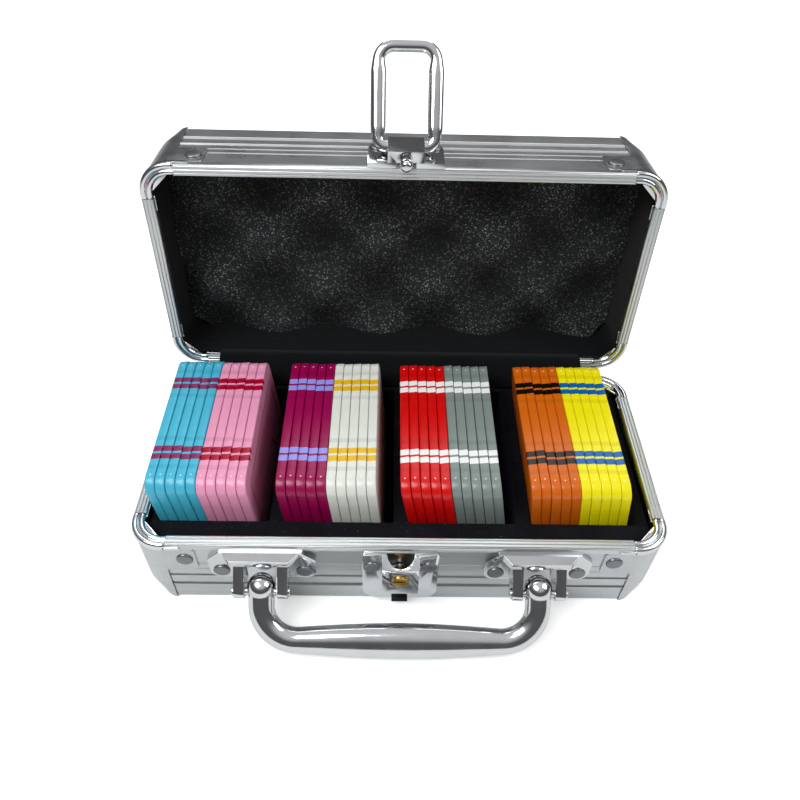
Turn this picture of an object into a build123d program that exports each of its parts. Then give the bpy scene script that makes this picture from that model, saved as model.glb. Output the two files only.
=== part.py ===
from build123d import *
import os
from math import cos, radians, sin, tan

os.makedirs("parts", exist_ok=True)

# An aluminium-framed case that holds four rows of ten playing plaques. Its lid stands open.
# Millimetres. X runs along the front wall, +Y goes to the hinge side and +Z is up.
# The origin is the middle of the base panel's underside.

# Overall size of the two halves and the open lid
case_width = 254.0
case_depth = 116.0
base_height = 48.0
lid_height = 48.0
open_angle = 95.5

# Wall extrusions
wall_thickness = 2.4
panel_thickness = 3.0
edge_break = 0.8
step_slope = 0.3
bead_low = (11.0, 1.8, 0.5)
groove_low = (12.8, 1.6, -0.5)
bead_high = (19.4, 1.4, 0.4)
groove_high = (20.8, 1.2, -0.35)
flute_low = (26.0, 1.0, -0.3)
flute_high = (31.0, 1.0, -0.3)
wall_features = [bead_low, groove_low, bead_high, groove_high, flute_low, flute_high]

# Rim strips, the chrome corners that join them and the gap where the halves meet
rim_height = 3.8
rim_width = 5.0
rim_overhang = 0.8
rim_line_depth = 0.35
rim_line_width = 0.9
rim_line_places = (0.1, -1.7, -3.5)
rim_gap = 0.2
rim_joint_inset = 17.0
rim_corner_radius = 15.0
bead_radius = 1.6
rim_corner_proud = 0.5
gusset_reach = 8.5
gusset_thickness = 0.8
gusset_drop = 1.4
clip_length = 7.0
clip_thickness = 0.5

# Stamped corner covers
corner_radius = 15.0
cover_thickness = 0.8
cover_seam_inset = 14.5
cover_tab_inset = 30.2
cover_tab_drop = 17.4
cover_tab_corner = 2.5
seam_gap = 0.2

# Large rivets
rivet_radius = 4.0
rivet_head = 0.9
rivet_dome = 0.35
rivet_shank_radius = 1.6
rivet_clearance = 0.05
rivet_inset = 24.7
rivet_drop = 12.0

# Slotted insert in the base
insert_drop = 6.0
insert_top = base_height - insert_drop
insert_clearance = 0.3
slot_count = 4
slot_margin = 3.1
slot_divider = 6.2
slot_end_room = 25.6
slot_end_clearance = 1.2
slot_length = case_depth - slot_end_room
slot_centre_y = 4.2
slot_floor = 12.0
slot_corner = 1.5

# Plaques
plaque_length = slot_length - 2 * slot_end_clearance
plaque_height = 55.0
plaque_corner = 7.0
plaque_edge = 0.45
plaque_gap = 0.05
plaque_lean = (5.0, 4.8, 10.0, 8.0)
plaques_in_a_colour = 5
plaque_slot_slack = 7.9
plaque_side_gap = 0.3
plaque_floor_gap = 0.2

# Lid lining, foam and the strip over the hinge line
lining_thickness = 1.2
foam_face = 25.0
foam_clearance = 0.3
hinge_strip_thickness = 0.4
hinge_strip_width = 5.6
hinge_strip_inset = 17.2

# Hinges
hinge_offset = 3.0
hinge_inset = 55.0
hinge_width = 40.0
hinge_plate_height = 18.0
hinge_plate_thickness = 1.6
hinge_neck_thickness = 1.0
hinge_rim_clearance = 0.1
hinge_barrel_radius = 2.0
hinge_pin_radius = 1.1
hinge_knuckle_gap = 0.3
hinge_middle_share = 0.44
hinge_rivet_radius = 2.6
hinge_rivet_head = 0.8
hinge_rivet_shank = 1.2
hinge_rivet_spacing = 24.0
running_clearance = 0.05

# Handle and its brackets
bracket_inset = 61.3
bracket_length = 51.0
bracket_height = 20.8
bracket_thickness = 2.5
bracket_top_chamfer = 6.0
bracket_lobe_radius = 5.5
bracket_rivet_spacing = 39.6
bracket_rivet_drop = 15.0
hood_depth = 7.0
hood_height = 4.3
hood_end_slope = 5.5
lug_place = 10.2
lug_width = 5.0
lug_radius = 3.4
lug_root_height = 17.0
pivot_out = 12.0
pivot_drop = 17.5
pivot_pin_radius = 1.6
pivot_pin_head = 2.5
pivot_pin_head_height = 1.0
handle_droop = 50.0
handle_reach = 24.0
handle_bend = 17.0
handle_ball = 6.7
handle_ball_set_back = 2.2
leg_half_width = 6.1
leg_half_thickness = 5.2
grip_sections = ((-0.9, 6.4, 5.2), (-0.45, 8.0, 5.9), (0.0, 8.6, 6.2), (0.45, 8.0, 5.9), (0.9, 6.4, 5.2))

# Lock on the base's front wall
lock_plate_width = 36.6
lock_plate_bottom = 5.0
lock_plate_back = 0.5
lock_plate_face = 2.6
lock_plate_corner = 7.0
lock_plate_top_corner = 1.5
lock_rivet_spacing = 27.4
lock_rivet_drop = 14.4
box_width = 17.4
box_out = 8.6
box_bottom = 19.2
box_shoulder = 40.4
box_wall = 0.9
strike_hole_radius = 6.6
strike_hole_out = 1.5
cylinder_height = 30.7
cylinder_radius = 4.15
cylinder_proud = 0.6
cylinder_back = 4.0
keyway_width = 1.1
keyway_length = 5.2
keyway_depth = 2.6
cam_front = 1.7
cam_back = 0.6
cam_hub_radius = 2.8
cam_stem_radius = 1.3
cam_reach = 7.0
cam_half_width = 1.6
catch_width = 8.0
catch_out = 5.4
catch_low = 4.8
catch_high = 7.4

# Latch on the lid's front wall
latch_plate_width = 36.6
latch_plate_low = 0.3
latch_plate_height = 24.6
latch_plate_face = 3.4
latch_plate_corner = 6.5
latch_rivet_spacing = 27.4
latch_rivet_up = 19.4
housing_width = 17.4
housing_out = 8.8
housing_low = 0.4
housing_height = 20.5
housing_slope = 2.0
recess_width = 9.6
recess_height = 3.6
recess_out = 4.6
stud_out = 4.7
stud_radius = 2.8
stud_neck_radius = 1.3
stud_length = 12.4
stud_head = 1.9
stud_neck = 1.9
bail_pivot_out = 6.5
bail_pivot_up = 12.0
bail_pin_radius = 1.9
bail_pin_depth = 2.6
bail_half_spacing = 13.6
bail_bend = 4.4
bail_end_bend = 7.0
bail_half_width = 3.7
bail_half_thickness = 2.75
bail_cross_half_thickness = 2.5
bail_cross_half_width = 3.0
bail_length = 45.0
bail_rest_rise = 29.0

# Places worked out from the sizes above
half_width = case_width / 2
half_depth = case_depth / 2
hinge_y = half_depth + hinge_offset
hinge_z = base_height
wall_top_base = base_height - rim_height
wall_top_lid = lid_height - rim_height
inner_half_width = half_width - rim_width
inner_half_depth = half_depth - rim_width
bracket_place = half_width - bracket_inset
hinge_place = half_width - hinge_inset
insert_half_x = inner_half_width - clip_thickness - insert_clearance
insert_half_y = inner_half_depth - clip_thickness - insert_clearance
slot_room = 2 * insert_half_x - 2 * slot_margin - (slot_count - 1) * slot_divider
slot_width = slot_room / slot_count
slot_pitch = slot_width + slot_divider
plaque_thickness = (slot_width - plaque_slot_slack) / (2 * plaques_in_a_colour)
pivot_y = -half_depth - pivot_out
pivot_z = wall_top_base - pivot_drop
parts = {}


def block(low, high):
    """A box between two opposite corners."""
    size = [b - a for a, b in zip(low, high)]
    middle = [(a + b) / 2 for a, b in zip(low, high)]
    return Pos(*middle) * Box(*size)


def along_x(radius, start, end, y, z):
    """A round bar along X between two x positions."""
    return Pos((start + end) / 2, y, z) * Rot(0, 90, 0) * Cylinder(radius, end - start)


def along_y(radius, start, end, x, z):
    """A round bar along Y between two y positions."""
    return Pos(x, (start + end) / 2, z) * Rot(90, 0, 0) * Cylinder(radius, end - start)


def prism_x(points, start, end):
    """An outline of (y, z) points made solid between two x positions."""
    face = make_face(Plane.YZ * Polyline(*points, close=True))
    return Pos(start, 0, 0) * extrude(face, amount=end - start, dir=(1, 0, 0))


def prism_z(points, low, high):
    """An outline of (x, y) points made solid between two heights."""
    face = make_face(Polyline(*points, close=True))
    return Pos(0, 0, low) * extrude(face, amount=high - low, dir=(0, 0, 1))


def group(shapes):
    """Several separate solids kept as one node."""
    solids = []
    for shape in shapes:
        solids.extend(shape.solids())
    return Compound(children=solids)


def on_side(shape, side):
    """Moves a shape from the front wall's frame, outer face at y = 0 and inside at +y, to a side."""
    places = {
        "front": Pos(0, -half_depth, 0),
        "rear": Pos(0, half_depth, 0) * Rot(0, 0, 180),
        "left": Pos(-half_width, 0, 0) * Rot(0, 0, -90),
        "right": Pos(half_width, 0, 0) * Rot(0, 0, 90),
    }
    return places[side] * shape


def side_half_length(side):
    return half_width if side in ("front", "rear") else half_depth


def to_corner(shape, corner):
    """Mirrors a shape made at the front left corner to another corner."""
    if corner.endswith("right"):
        shape = mirror(shape, about=Plane.YZ)
    if corner.startswith("rear"):
        shape = mirror(shape, about=Plane.XZ)
    return shape


def flipped(shape):
    """Turns a base piece upside down, where it belongs on the closed lid."""
    return Pos(0, 0, base_height + lid_height) * mirror(shape, about=Plane.XY)


def opened(shape):
    """Swings a piece of the closed lid about the hinge to where the lid stands open."""
    return Pos(0, hinge_y, hinge_z) * Rot(-open_angle, 0, 0) * Pos(0, -hinge_y, -hinge_z) * shape


SIDES = ("front", "rear", "left", "right")
CORNERS = ("front_left", "front_right", "rear_left", "rear_right")


# Wall extrusions
def wall_outline(height):
    """The extrusion's section as (y, z) points, with its outer face at y = 0 and beads outwards."""
    top = height - rim_height
    points = [(wall_thickness, 0.0), (edge_break, 0.0), (0.0, edge_break)]
    for start, width, out in wall_features:
        points.append((0.0, start))
        points.append((-out, start + step_slope))
        points.append((-out, start + width - step_slope))
        points.append((0.0, start + width))
    points += [(0.0, top), (wall_thickness, top)]
    clean = [points[0]]
    for point in points[1:]:
        if abs(point[0] - clean[-1][0]) + abs(point[1] - clean[-1][1]) > 1e-6:
            clean.append(point)
    return clean


def rivet_hole(x, z):
    """The drill for one large rivet in the front wall's frame."""
    reach = wall_thickness + lock_plate_face + cover_thickness + housing_out
    return along_y(rivet_shank_radius + rivet_clearance, -reach, reach, x, z)


def rivet_places(side, height):
    """Where the corner rivets of one side go, as (x, z) in the side's frame."""
    x = side_half_length(side) - rivet_inset
    return [(sign * x, height - rivet_drop) for sign in (-1, 1)]


def wall(side, height):
    length = 2 * (side_half_length(side) - cover_seam_inset - seam_gap)
    shape = prism_x(wall_outline(height), -length / 2, length / 2)
    for x, z in rivet_places(side, height):
        shape -= rivet_hole(x, z)
    return shape


# Rim strips
def rim(side, height):
    """A flat strip on the wall's edge, with fine lines along its face."""
    length = 2 * (side_half_length(side) - rim_joint_inset - seam_gap)
    low = height - rim_height
    top = height - rim_gap / 2
    points = [(rim_width, low), (rim_width, top), (-rim_overhang, top), (-rim_overhang, low)]
    shape = prism_x(points, -length / 2, length / 2)
    for out in rim_line_places:
        centre = -out
        low_corner = (-length, centre - rim_line_width / 2, top - rim_line_depth)
        high_corner = (length, centre + rim_line_width / 2, top + rim_line_depth)
        shape -= block(low_corner, high_corner)
    return shape


# Chrome rim corners
def rim_corner_section(plane, shift, height):
    """Two half-round beads side by side on a flat foot. The plane's x runs outwards."""
    low = height - rim_height
    bead_z = height - rim_gap / 2 - bead_radius
    outer = rim_overhang + rim_corner_proud
    inner = -rim_width
    foot_width = outer - inner
    foot_height = bead_z - low
    section = Pos(shift + (outer + inner) / 2, low + foot_height / 2) * Rectangle(foot_width, foot_height)
    section += Pos(shift + outer - bead_radius, bead_z) * Circle(bead_radius)
    section += Pos(shift + inner + bead_radius, bead_z) * Circle(bead_radius)
    return plane * section


def rim_corner(height):
    """The front left corner: a quarter bend, two straight ends, a flat gusset and side clips."""
    radius = rim_corner_radius
    stub = rim_joint_inset - radius
    bend = revolve(rim_corner_section(Plane.XZ, radius, height), axis=Axis.Z, revolution_arc=90)
    bend = Pos(-half_width + radius, -half_depth + radius, 0) * Rot(0, 0, 180) * bend
    front = Plane(origin=(-half_width + rim_joint_inset, -half_depth, 0), x_dir=(0, -1, 0), z_dir=(-1, 0, 0))
    side = Plane(origin=(-half_width, -half_depth + radius, 0), x_dir=(-1, 0, 0), z_dir=(0, 1, 0))
    shape = bend + extrude(rim_corner_section(front, 0, height), amount=stub)
    shape += extrude(rim_corner_section(side, 0, height), amount=stub)
    inner = rim_width
    root = rim_width - bead_radius
    reach = rim_width + gusset_reach
    outline = [(root, root + bead_radius), (root, reach), (inner, reach), (reach, inner), (reach, root)]
    outline.append((root + bead_radius, root))
    plate = [(x - half_width, y - half_depth) for x, y in outline]
    gusset = prism_z(plate, height - gusset_drop - gusset_thickness, height - gusset_drop)
    corner_axis = Pos(-half_width + radius, -half_depth + radius, height)
    inside_bend = corner_axis * Cylinder(radius + rim_overhang, 4 * rim_height)
    quarter = block((-half_width - 1, -half_depth - 1, 0), (-half_width + radius, -half_depth + radius, height))
    gusset = gusset - (quarter - inside_bend)
    shape += gusset
    clip_low = height - rim_height
    clip_high = height - rim_gap / 2 - bead_radius
    start = rim_joint_inset - 1
    end = rim_joint_inset + clip_length
    for out in (-rim_width - clip_thickness, rim_overhang):
        shape += block(
            (-half_width + start, -half_depth - out - clip_thickness, clip_low),
            (-half_width + end, -half_depth - out, clip_high),
        )
        shape += block(
            (-half_width - out - clip_thickness, -half_depth + start, clip_low),
            (-half_width - out, -half_depth + end, clip_high),
        )
    return shape


# Stamped corner covers
def plan_ring(outer, inner, low, high):
    """A ring with rounded corners that follows the case's plan. Both offsets count outwards."""
    big = RectangleRounded(case_width + 2 * outer, case_depth + 2 * outer, corner_radius + outer)
    small = RectangleRounded(case_width + 2 * inner, case_depth + 2 * inner, corner_radius + inner)
    return Pos(0, 0, low) * extrude(big - small, amount=high - low)


def corner_cover(height):
    """The front left cover: a rounded corner as thick as wall and sheet, with two riveted tabs."""
    top = height - rim_height
    body = plan_ring(cover_thickness, -wall_thickness, 0, top)
    body &= block(
        (-half_width - 2, -half_depth - 2, 0),
        (-half_width + cover_seam_inset, -half_depth + cover_seam_inset, top),
    )
    bottom_edges = body.edges().group_by(Axis.Z)[0]
    outer_arc = bottom_edges.filter_by(GeomType.CIRCLE).sort_by(SortBy.LENGTH)[-1]
    body = chamfer(outer_arc, edge_break)
    tab_low = top - cover_tab_drop
    tab_length = cover_tab_inset - cover_seam_inset + cover_tab_corner
    tab = RectangleRounded(tab_length, cover_tab_drop, cover_tab_corner)
    tab = extrude(Plane.XZ * tab, amount=cover_thickness)
    tab = tab & block((-tab_length / 2 + cover_tab_corner, -1 - cover_thickness, -top), (tab_length, 1, top))
    middle = cover_tab_inset - tab_length / 2
    raise_to = tab_low + cover_tab_drop / 2
    front_tab = Pos(-half_width + middle, -half_depth, raise_to) * tab
    side_tab = Pos(-half_width, -half_depth + middle, raise_to) * Rot(0, 0, -90) * mirror(tab, about=Plane.YZ)
    body = body + front_tab + side_tab
    x, z = half_width - rivet_inset, height - rivet_drop
    body -= on_side(rivet_hole(-x, z), "front")
    body -= on_side(rivet_hole(half_depth - rivet_inset, z), "left")
    return body


def rivet(x, z, face, length):
    """A flat domed head with a plain shank, in the front wall's frame. face is how far out it sits."""
    head = along_y(rivet_radius, -face - rivet_head, -face, x, z)
    rim_edge = head.edges().filter_by(GeomType.CIRCLE).sort_by(Axis.Y)[0]
    head = chamfer(rim_edge, rivet_dome)
    return head + along_y(rivet_shank_radius, -face, length, x, z)


def corner_rivets(height):
    rivets = []
    for side in SIDES:
        for x, z in rivet_places(side, height):
            rivets.append(on_side(rivet(x, z, cover_thickness, wall_thickness), side))
    return rivets


def panel():
    width = case_width - 2 * wall_thickness
    depth = case_depth - 2 * wall_thickness
    return extrude(RectangleRounded(width, depth, corner_radius - wall_thickness), amount=panel_thickness)


# Holes that the fittings need in the two front walls
def bracket_rivet_places():
    z = wall_top_base - bracket_rivet_drop
    x = bracket_rivet_spacing / 2
    return [(centre + sign * x, z) for centre in (-bracket_place, bracket_place) for sign in (-1, 1)]


def lock_rivet_places():
    return [(sign * lock_rivet_spacing / 2, base_height - lock_rivet_drop) for sign in (-1, 1)]


def latch_rivet_places():
    """Latch rivets, as heights on the wall of the lid before it is turned over."""
    return [(sign * latch_rivet_spacing / 2, lid_height - latch_rivet_up) for sign in (-1, 1)]


def hinge_rivet_places(height):
    z = height - rim_height - hinge_plate_height / 2
    x = hinge_rivet_spacing / 2
    return [(centre + sign * x, z) for centre in (-hinge_place, hinge_place) for sign in (-1, 1)]


def hinge_rivet_hole(x, z):
    return along_y(hinge_rivet_shank + rivet_clearance, -hinge_offset - wall_thickness, 2 * wall_thickness, x, z)


def make_half(prefix, height, finish):
    """The panel, walls, rims, corners and covers of one half. finish places each piece."""
    parts[prefix + "_panel"] = finish(panel())
    for side in SIDES:
        shape = wall(side, height)
        if side == "front":
            places = bracket_rivet_places() + lock_rivet_places() if prefix == "base" else latch_rivet_places()
            for x, z in places:
                shape -= rivet_hole(x, z)
        if side == "rear":
            for x, z in hinge_rivet_places(height):
                shape -= hinge_rivet_hole(x, z)
        parts[f"{prefix}_{side}_wall"] = finish(on_side(shape, side))
        parts[f"{prefix}_{side}_rim"] = finish(on_side(rim(side, height), side))
    cover = corner_cover(height)
    bend = rim_corner(height)
    for corner in CORNERS:
        parts[f"{prefix}_{corner}_cover"] = finish(to_corner(cover, corner))
    parts[prefix + "_rim_corners"] = finish(group([to_corner(bend, corner) for corner in CORNERS]))


def lid_finish(shape):
    return opened(flipped(shape))


make_half("base", base_height, lambda shape: shape)
make_half("lid", lid_height, lid_finish)


# Slotted insert
def chamfered_block(half_x, half_y, cut, low, high):
    outline = Rectangle(2 * half_x, 2 * half_y)
    outline = chamfer(outline.vertices(), cut)
    return Pos(0, 0, low) * extrude(outline, amount=high - low)


def slot_left_edges():
    first = -slot_pitch * (slot_count - 1) / 2 - slot_width / 2
    return [first + slot_pitch * index for index in range(slot_count)]


insert = chamfered_block(insert_half_x, insert_half_y, gusset_reach, panel_thickness, insert_top)
for left in slot_left_edges():
    hollow = RectangleRounded(slot_width, slot_length, slot_corner)
    hollow = extrude(hollow, amount=insert_top - slot_floor + 1)
    insert -= Pos(left + slot_width / 2, slot_centre_y, slot_floor) * hollow
parts["base_insert"] = insert


# Plaques
def plaque():
    """One plaque upright, with its lower left edge on the origin and its face across X."""
    outline = RectangleRounded(plaque_length, plaque_height, plaque_corner)
    shape = extrude(Plane.YZ * outline, amount=plaque_thickness)
    shape = chamfer(shape.edges().filter_by(Plane.YZ), plaque_edge)
    return Pos(0, 0, plaque_height / 2) * shape


def plaque_group(slot, first):
    """Plaques leaning to the left, each standing on the slot's floor by its lower edge."""
    lean = radians(plaque_lean[slot])
    edge = slot_left_edges()[slot] + plaque_side_gap
    floor = slot_floor + plaque_floor_gap
    start = edge + (insert_top - floor) * tan(lean)
    pitch = (plaque_thickness + plaque_gap) / cos(lean)
    one = plaque()
    shapes = []
    for index in range(first, first + plaques_in_a_colour):
        place = Pos(start + pitch * index, slot_centre_y, floor)
        shapes.append(place * Rot(0, -plaque_lean[slot], 0) * one)
    return group(shapes)


plaque_colours = (("sky_blue", "pink"), ("berry", "white"), ("red", "grey"), ("orange", "yellow"))
for slot, colours in enumerate(plaque_colours):
    for order, colour in enumerate(colours):
        parts["plaques_" + colour] = plaque_group(slot, order * plaques_in_a_colour)


# Lid lining, foam and the strip over the hinge line, all made in the base's way up
lining_outer = RectangleRounded(
    case_width - 2 * wall_thickness, case_depth - 2 * wall_thickness, corner_radius - wall_thickness
)
lining_inset = wall_thickness + lining_thickness
lining_inner = RectangleRounded(
    case_width - 2 * lining_inset, case_depth - 2 * lining_inset, corner_radius - lining_inset
)
lining = extrude(lining_outer - lining_inner, amount=wall_top_lid - panel_thickness)
parts["lid_lining"] = lid_finish(Pos(0, 0, panel_thickness) * lining)
foam_half_x = half_width - lining_inset - foam_clearance
foam_half_y = half_depth - lining_inset - foam_clearance
foam_top = lid_height - foam_face
foam = chamfered_block(foam_half_x, foam_half_y, gusset_reach, panel_thickness, foam_top)
parts["lid_foam"] = lid_finish(foam)


def hinge_strip(height):
    """Cloth on the inner face of the rear rim, just inside the chrome corners."""
    half = half_width - hinge_strip_inset - clip_length
    high = height - rim_gap / 2
    return block(
        (-half, inner_half_depth - hinge_strip_thickness, high - hinge_strip_width),
        (half, inner_half_depth, high),
    )


parts["hinge_lining_base"] = hinge_strip(base_height)
parts["hinge_lining_lid"] = lid_finish(hinge_strip(lid_height))


# Hinges, made at the front wall's frame with the axis out at hinge_offset
def hinge_leaf(height, centre, middle):
    """A riveted plate with a neck over the rim and either the middle knuckle or the two end ones."""
    top = height - rim_height
    half = hinge_width / 2
    plate = block(
        (centre - half, -hinge_plate_thickness, top - hinge_plate_height),
        (centre + half, 0, top - hinge_rim_clearance),
    )
    for x, z in hinge_rivet_places(height):
        if abs(x - centre) < half:
            plate -= hinge_rivet_hole(x, z)
    middle_half = hinge_width * hinge_middle_share / 2
    if middle:
        spans = [(-middle_half + hinge_knuckle_gap / 2, middle_half - hinge_knuckle_gap / 2)]
    else:
        spans = [(-half, -middle_half - hinge_knuckle_gap / 2), (middle_half + hinge_knuckle_gap / 2, half)]
    neck_out = rim_overhang + hinge_rim_clearance
    for start, end in spans:
        neck = block(
            (centre + start, -neck_out - hinge_neck_thickness, top - hinge_plate_height / 3),
            (centre + end, -neck_out, height),
        )
        knuckle = along_x(hinge_barrel_radius, centre + start, centre + end, -hinge_offset, height)
        plate += neck + knuckle
    plate -= along_x(
        hinge_pin_radius + running_clearance, centre - hinge_width, centre + hinge_width, -hinge_offset, height
    )
    return plate


hinge_centres = (-hinge_place, hinge_place)
base_leaves = [on_side(hinge_leaf(base_height, x, False), "rear") for x in hinge_centres]
lid_leaves = [on_side(hinge_leaf(lid_height, x, True), "rear") for x in hinge_centres]
parts["base_hinge_leaves"] = group(base_leaves)
parts["lid_hinge_leaves"] = lid_finish(group(lid_leaves))
hinge_pins = [along_x(hinge_pin_radius, x - hinge_width / 2, x + hinge_width / 2, hinge_y, hinge_z)
              for x in hinge_centres]
parts["hinge_pins"] = group(hinge_pins)


def hinge_rivets(height):
    rivets = []
    for x, z in hinge_rivet_places(height):
        face = hinge_plate_thickness
        shape = along_y(hinge_rivet_radius, -face - hinge_rivet_head, -face, x, z)
        shape += along_y(hinge_rivet_shank, -face, wall_thickness, x, z)
        rivets.append(on_side(shape, "rear"))
    return group(rivets)


parts["base_hinge_rivets"] = hinge_rivets(base_height)
parts["lid_hinge_rivets"] = lid_finish(hinge_rivets(lid_height))


# Handle brackets
def bracket(centre):
    """A lobed plate under a sloped hood, with two lugs that carry the handle's pin."""
    top = wall_top_base
    bottom = top - bracket_height
    half = bracket_length / 2
    outline = Pos(0, (top + bottom) / 2) * Rectangle(bracket_length, bracket_height)
    upper = outline.vertices().sort_by(Axis.Y)[2:]
    outline = chamfer(upper, bracket_top_chamfer)
    lower = outline.vertices().sort_by(Axis.Y)[:2]
    outline = fillet(lower, bracket_lobe_radius)
    shape = extrude(Plane.XZ * outline, amount=bracket_thickness)
    hood_points = [
        (-half + bracket_top_chamfer, 0), (-half + bracket_top_chamfer + hood_end_slope, -hood_depth),
        (half - bracket_top_chamfer - hood_end_slope, -hood_depth), (half - bracket_top_chamfer, 0),
    ]
    shape += prism_z(hood_points, top - hood_height, top)
    pivot = (-pivot_out, pivot_z)
    for sign in (-1, 1):
        root = Pos(-bracket_thickness / 2, top - hood_height / 2 - lug_root_height / 2) * Rectangle(
            bracket_thickness, lug_root_height
        )
        profile = make_hull((root + Pos(*pivot) * Circle(lug_radius)).edges())
        lug = extrude(Plane.YZ * profile, amount=lug_width, dir=(1, 0, 0))
        shape += Pos(sign * lug_place - lug_width / 2, 0, 0) * lug
    for x, z in bracket_rivet_places():
        if abs(x - centre) < half:
            shape -= rivet_hole(x - centre, z)
    bore = pivot_pin_radius + rivet_clearance
    shape -= along_x(bore, -half, half, *pivot)
    return Pos(centre, -half_depth, 0) * shape


parts["left_handle_bracket"] = bracket(-bracket_place)
parts["right_handle_bracket"] = bracket(bracket_place)


def handle_pin(centre):
    """A straight pin with a small head outside each lug."""
    reach = lug_place + lug_width / 2
    shape = along_x(pivot_pin_radius, -reach, reach, pivot_y, pivot_z)
    for sign in (-1, 1):
        ends = sorted((sign * reach, sign * (reach + pivot_pin_head_height)))
        shape += along_x(pivot_pin_head, ends[0], ends[1], pivot_y, pivot_z)
    return Pos(centre, 0, 0) * shape


parts["handle_pins"] = group([handle_pin(-bracket_place), handle_pin(bracket_place)])


# Handle, made in the XY plane with its pivots on the X axis and its grip at -Y
def handle():
    straight = handle_reach - handle_bend
    end_x = -bracket_place + handle_bend
    path = Line((-bracket_place, 0), (-bracket_place, -straight))
    path += CenterArc((end_x, -straight), handle_bend, 180, 90)
    section = Plane(origin=(-bracket_place, 0, 0), x_dir=(1, 0, 0), z_dir=(0, -1, 0))
    leg = sweep(section * Ellipse(leg_half_width, leg_half_thickness), path=path)
    leg += Pos(-bracket_place, handle_ball_set_back, 0) * Sphere(handle_ball)
    ends = ((end_x, leg_half_width, leg_half_thickness), (-end_x, leg_half_width, leg_half_thickness))
    rings = []
    middle = [(-end_x * share, half, thick) for share, half, thick in grip_sections]
    for x, half, thick in [ends[0], *middle, ends[1]]:
        plane = Plane(origin=(x, -handle_reach, 0), x_dir=(0, 1, 0), z_dir=(1, 0, 0))
        rings.append(plane * Ellipse(half, thick))
    shape = leg + loft(rings) + mirror(leg, about=Plane.YZ)
    bore = pivot_pin_radius + running_clearance
    return shape - along_x(bore, -half_width, half_width, 0, 0)


parts["handle"] = Pos(0, pivot_y, pivot_z) * Rot(handle_droop, 0, 0) * handle()


# Lock plate with its raised box, in the front wall's frame
def lock_plate():
    top = wall_top_base
    height = top - lock_plate_bottom
    outline = Pos(0, lock_plate_bottom + height / 2) * Rectangle(lock_plate_width, height)
    outline = fillet(outline.vertices().sort_by(Axis.Y)[:2], lock_plate_corner)
    outline = fillet(outline.vertices().sort_by(Axis.Y)[-2:], lock_plate_top_corner)
    shape = Pos(0, -lock_plate_back, 0) * extrude(Plane.XZ * outline, amount=lock_plate_face - lock_plate_back)
    half = box_width / 2
    side = [
        (-lock_plate_back, box_bottom), (-box_out, box_bottom), (-box_out, box_shoulder),
        (-lock_plate_face, top), (-lock_plate_back, top),
    ]
    shape += prism_x(side, -half, half)
    inner = half - box_wall
    cavity_side = [
        (0, box_bottom + box_wall), (-box_out + box_wall, box_bottom + box_wall),
        (-box_out + box_wall, box_shoulder - box_wall), (-lock_plate_face, top - box_wall),
        (0, top - box_wall),
    ]
    shape -= prism_x(cavity_side, -inner, inner)
    hole = Pos(0, -strike_hole_out, top) * Cylinder(strike_hole_radius, 2 * (top - box_shoulder) + 4 * box_wall)
    hole_floor = box_shoulder - 2 * box_wall
    hole &= block((-half, -box_out, hole_floor), (half, -strike_hole_out, top + 4 * box_wall))
    shape -= hole
    shape -= along_y(cylinder_radius + running_clearance, -box_out - 1, -cylinder_back, 0, cylinder_height)
    for x, z in lock_rivet_places():
        shape -= rivet_hole(x, z)
    return shape


parts["lock_plate"] = on_side(lock_plate(), "front")


def lock_cylinder():
    """The keyed plug with a stem behind it that carries the cam."""
    plug = along_y(cylinder_radius, -box_out - cylinder_proud, -cylinder_back, 0, cylinder_height)
    plug -= block(
        (-keyway_length / 2, -box_out - cylinder_proud - 1, cylinder_height - keyway_width / 2),
        (keyway_length / 2, -box_out - cylinder_proud + keyway_depth, cylinder_height + keyway_width / 2),
    )
    return plug + along_y(cam_stem_radius, -cylinder_back, -cam_back, 0, cylinder_height)


parts["lock_cylinder"] = on_side(lock_cylinder(), "front")


def lock_cam():
    """A hub and one finger, riveted on the plug's stem inside the lock's box."""
    front, back = -cam_front, -cam_back
    shape = along_y(cam_hub_radius, front, back, 0, cylinder_height)
    low = (-cam_reach, front, cylinder_height - cam_half_width)
    shape += block(low, (0, back, cylinder_height + cam_half_width))
    tip = shape.edges().filter_by(Axis.Y).sort_by(Axis.X)[:2]
    shape = fillet(tip, cam_half_width - running_clearance)
    return shape - along_y(cam_stem_radius, front - 1, back + 1, 0, cylinder_height)


parts["lock_cam"] = on_side(lock_cam(), "front")
catch = block((-catch_width / 2, -catch_out, catch_low), (catch_width / 2, -lock_plate_face, catch_high))
catch = fillet(catch.edges().filter_by(Axis.X).sort_by(Axis.Y)[:2], 1.0)
parts["lock_catch"] = on_side(catch, "front")


# Lid latch, made closed on the front wall of the lid
latch_foot = base_height + latch_plate_low
housing_foot = base_height + housing_low
bail_pivot_z = base_height + bail_pivot_up


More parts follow.
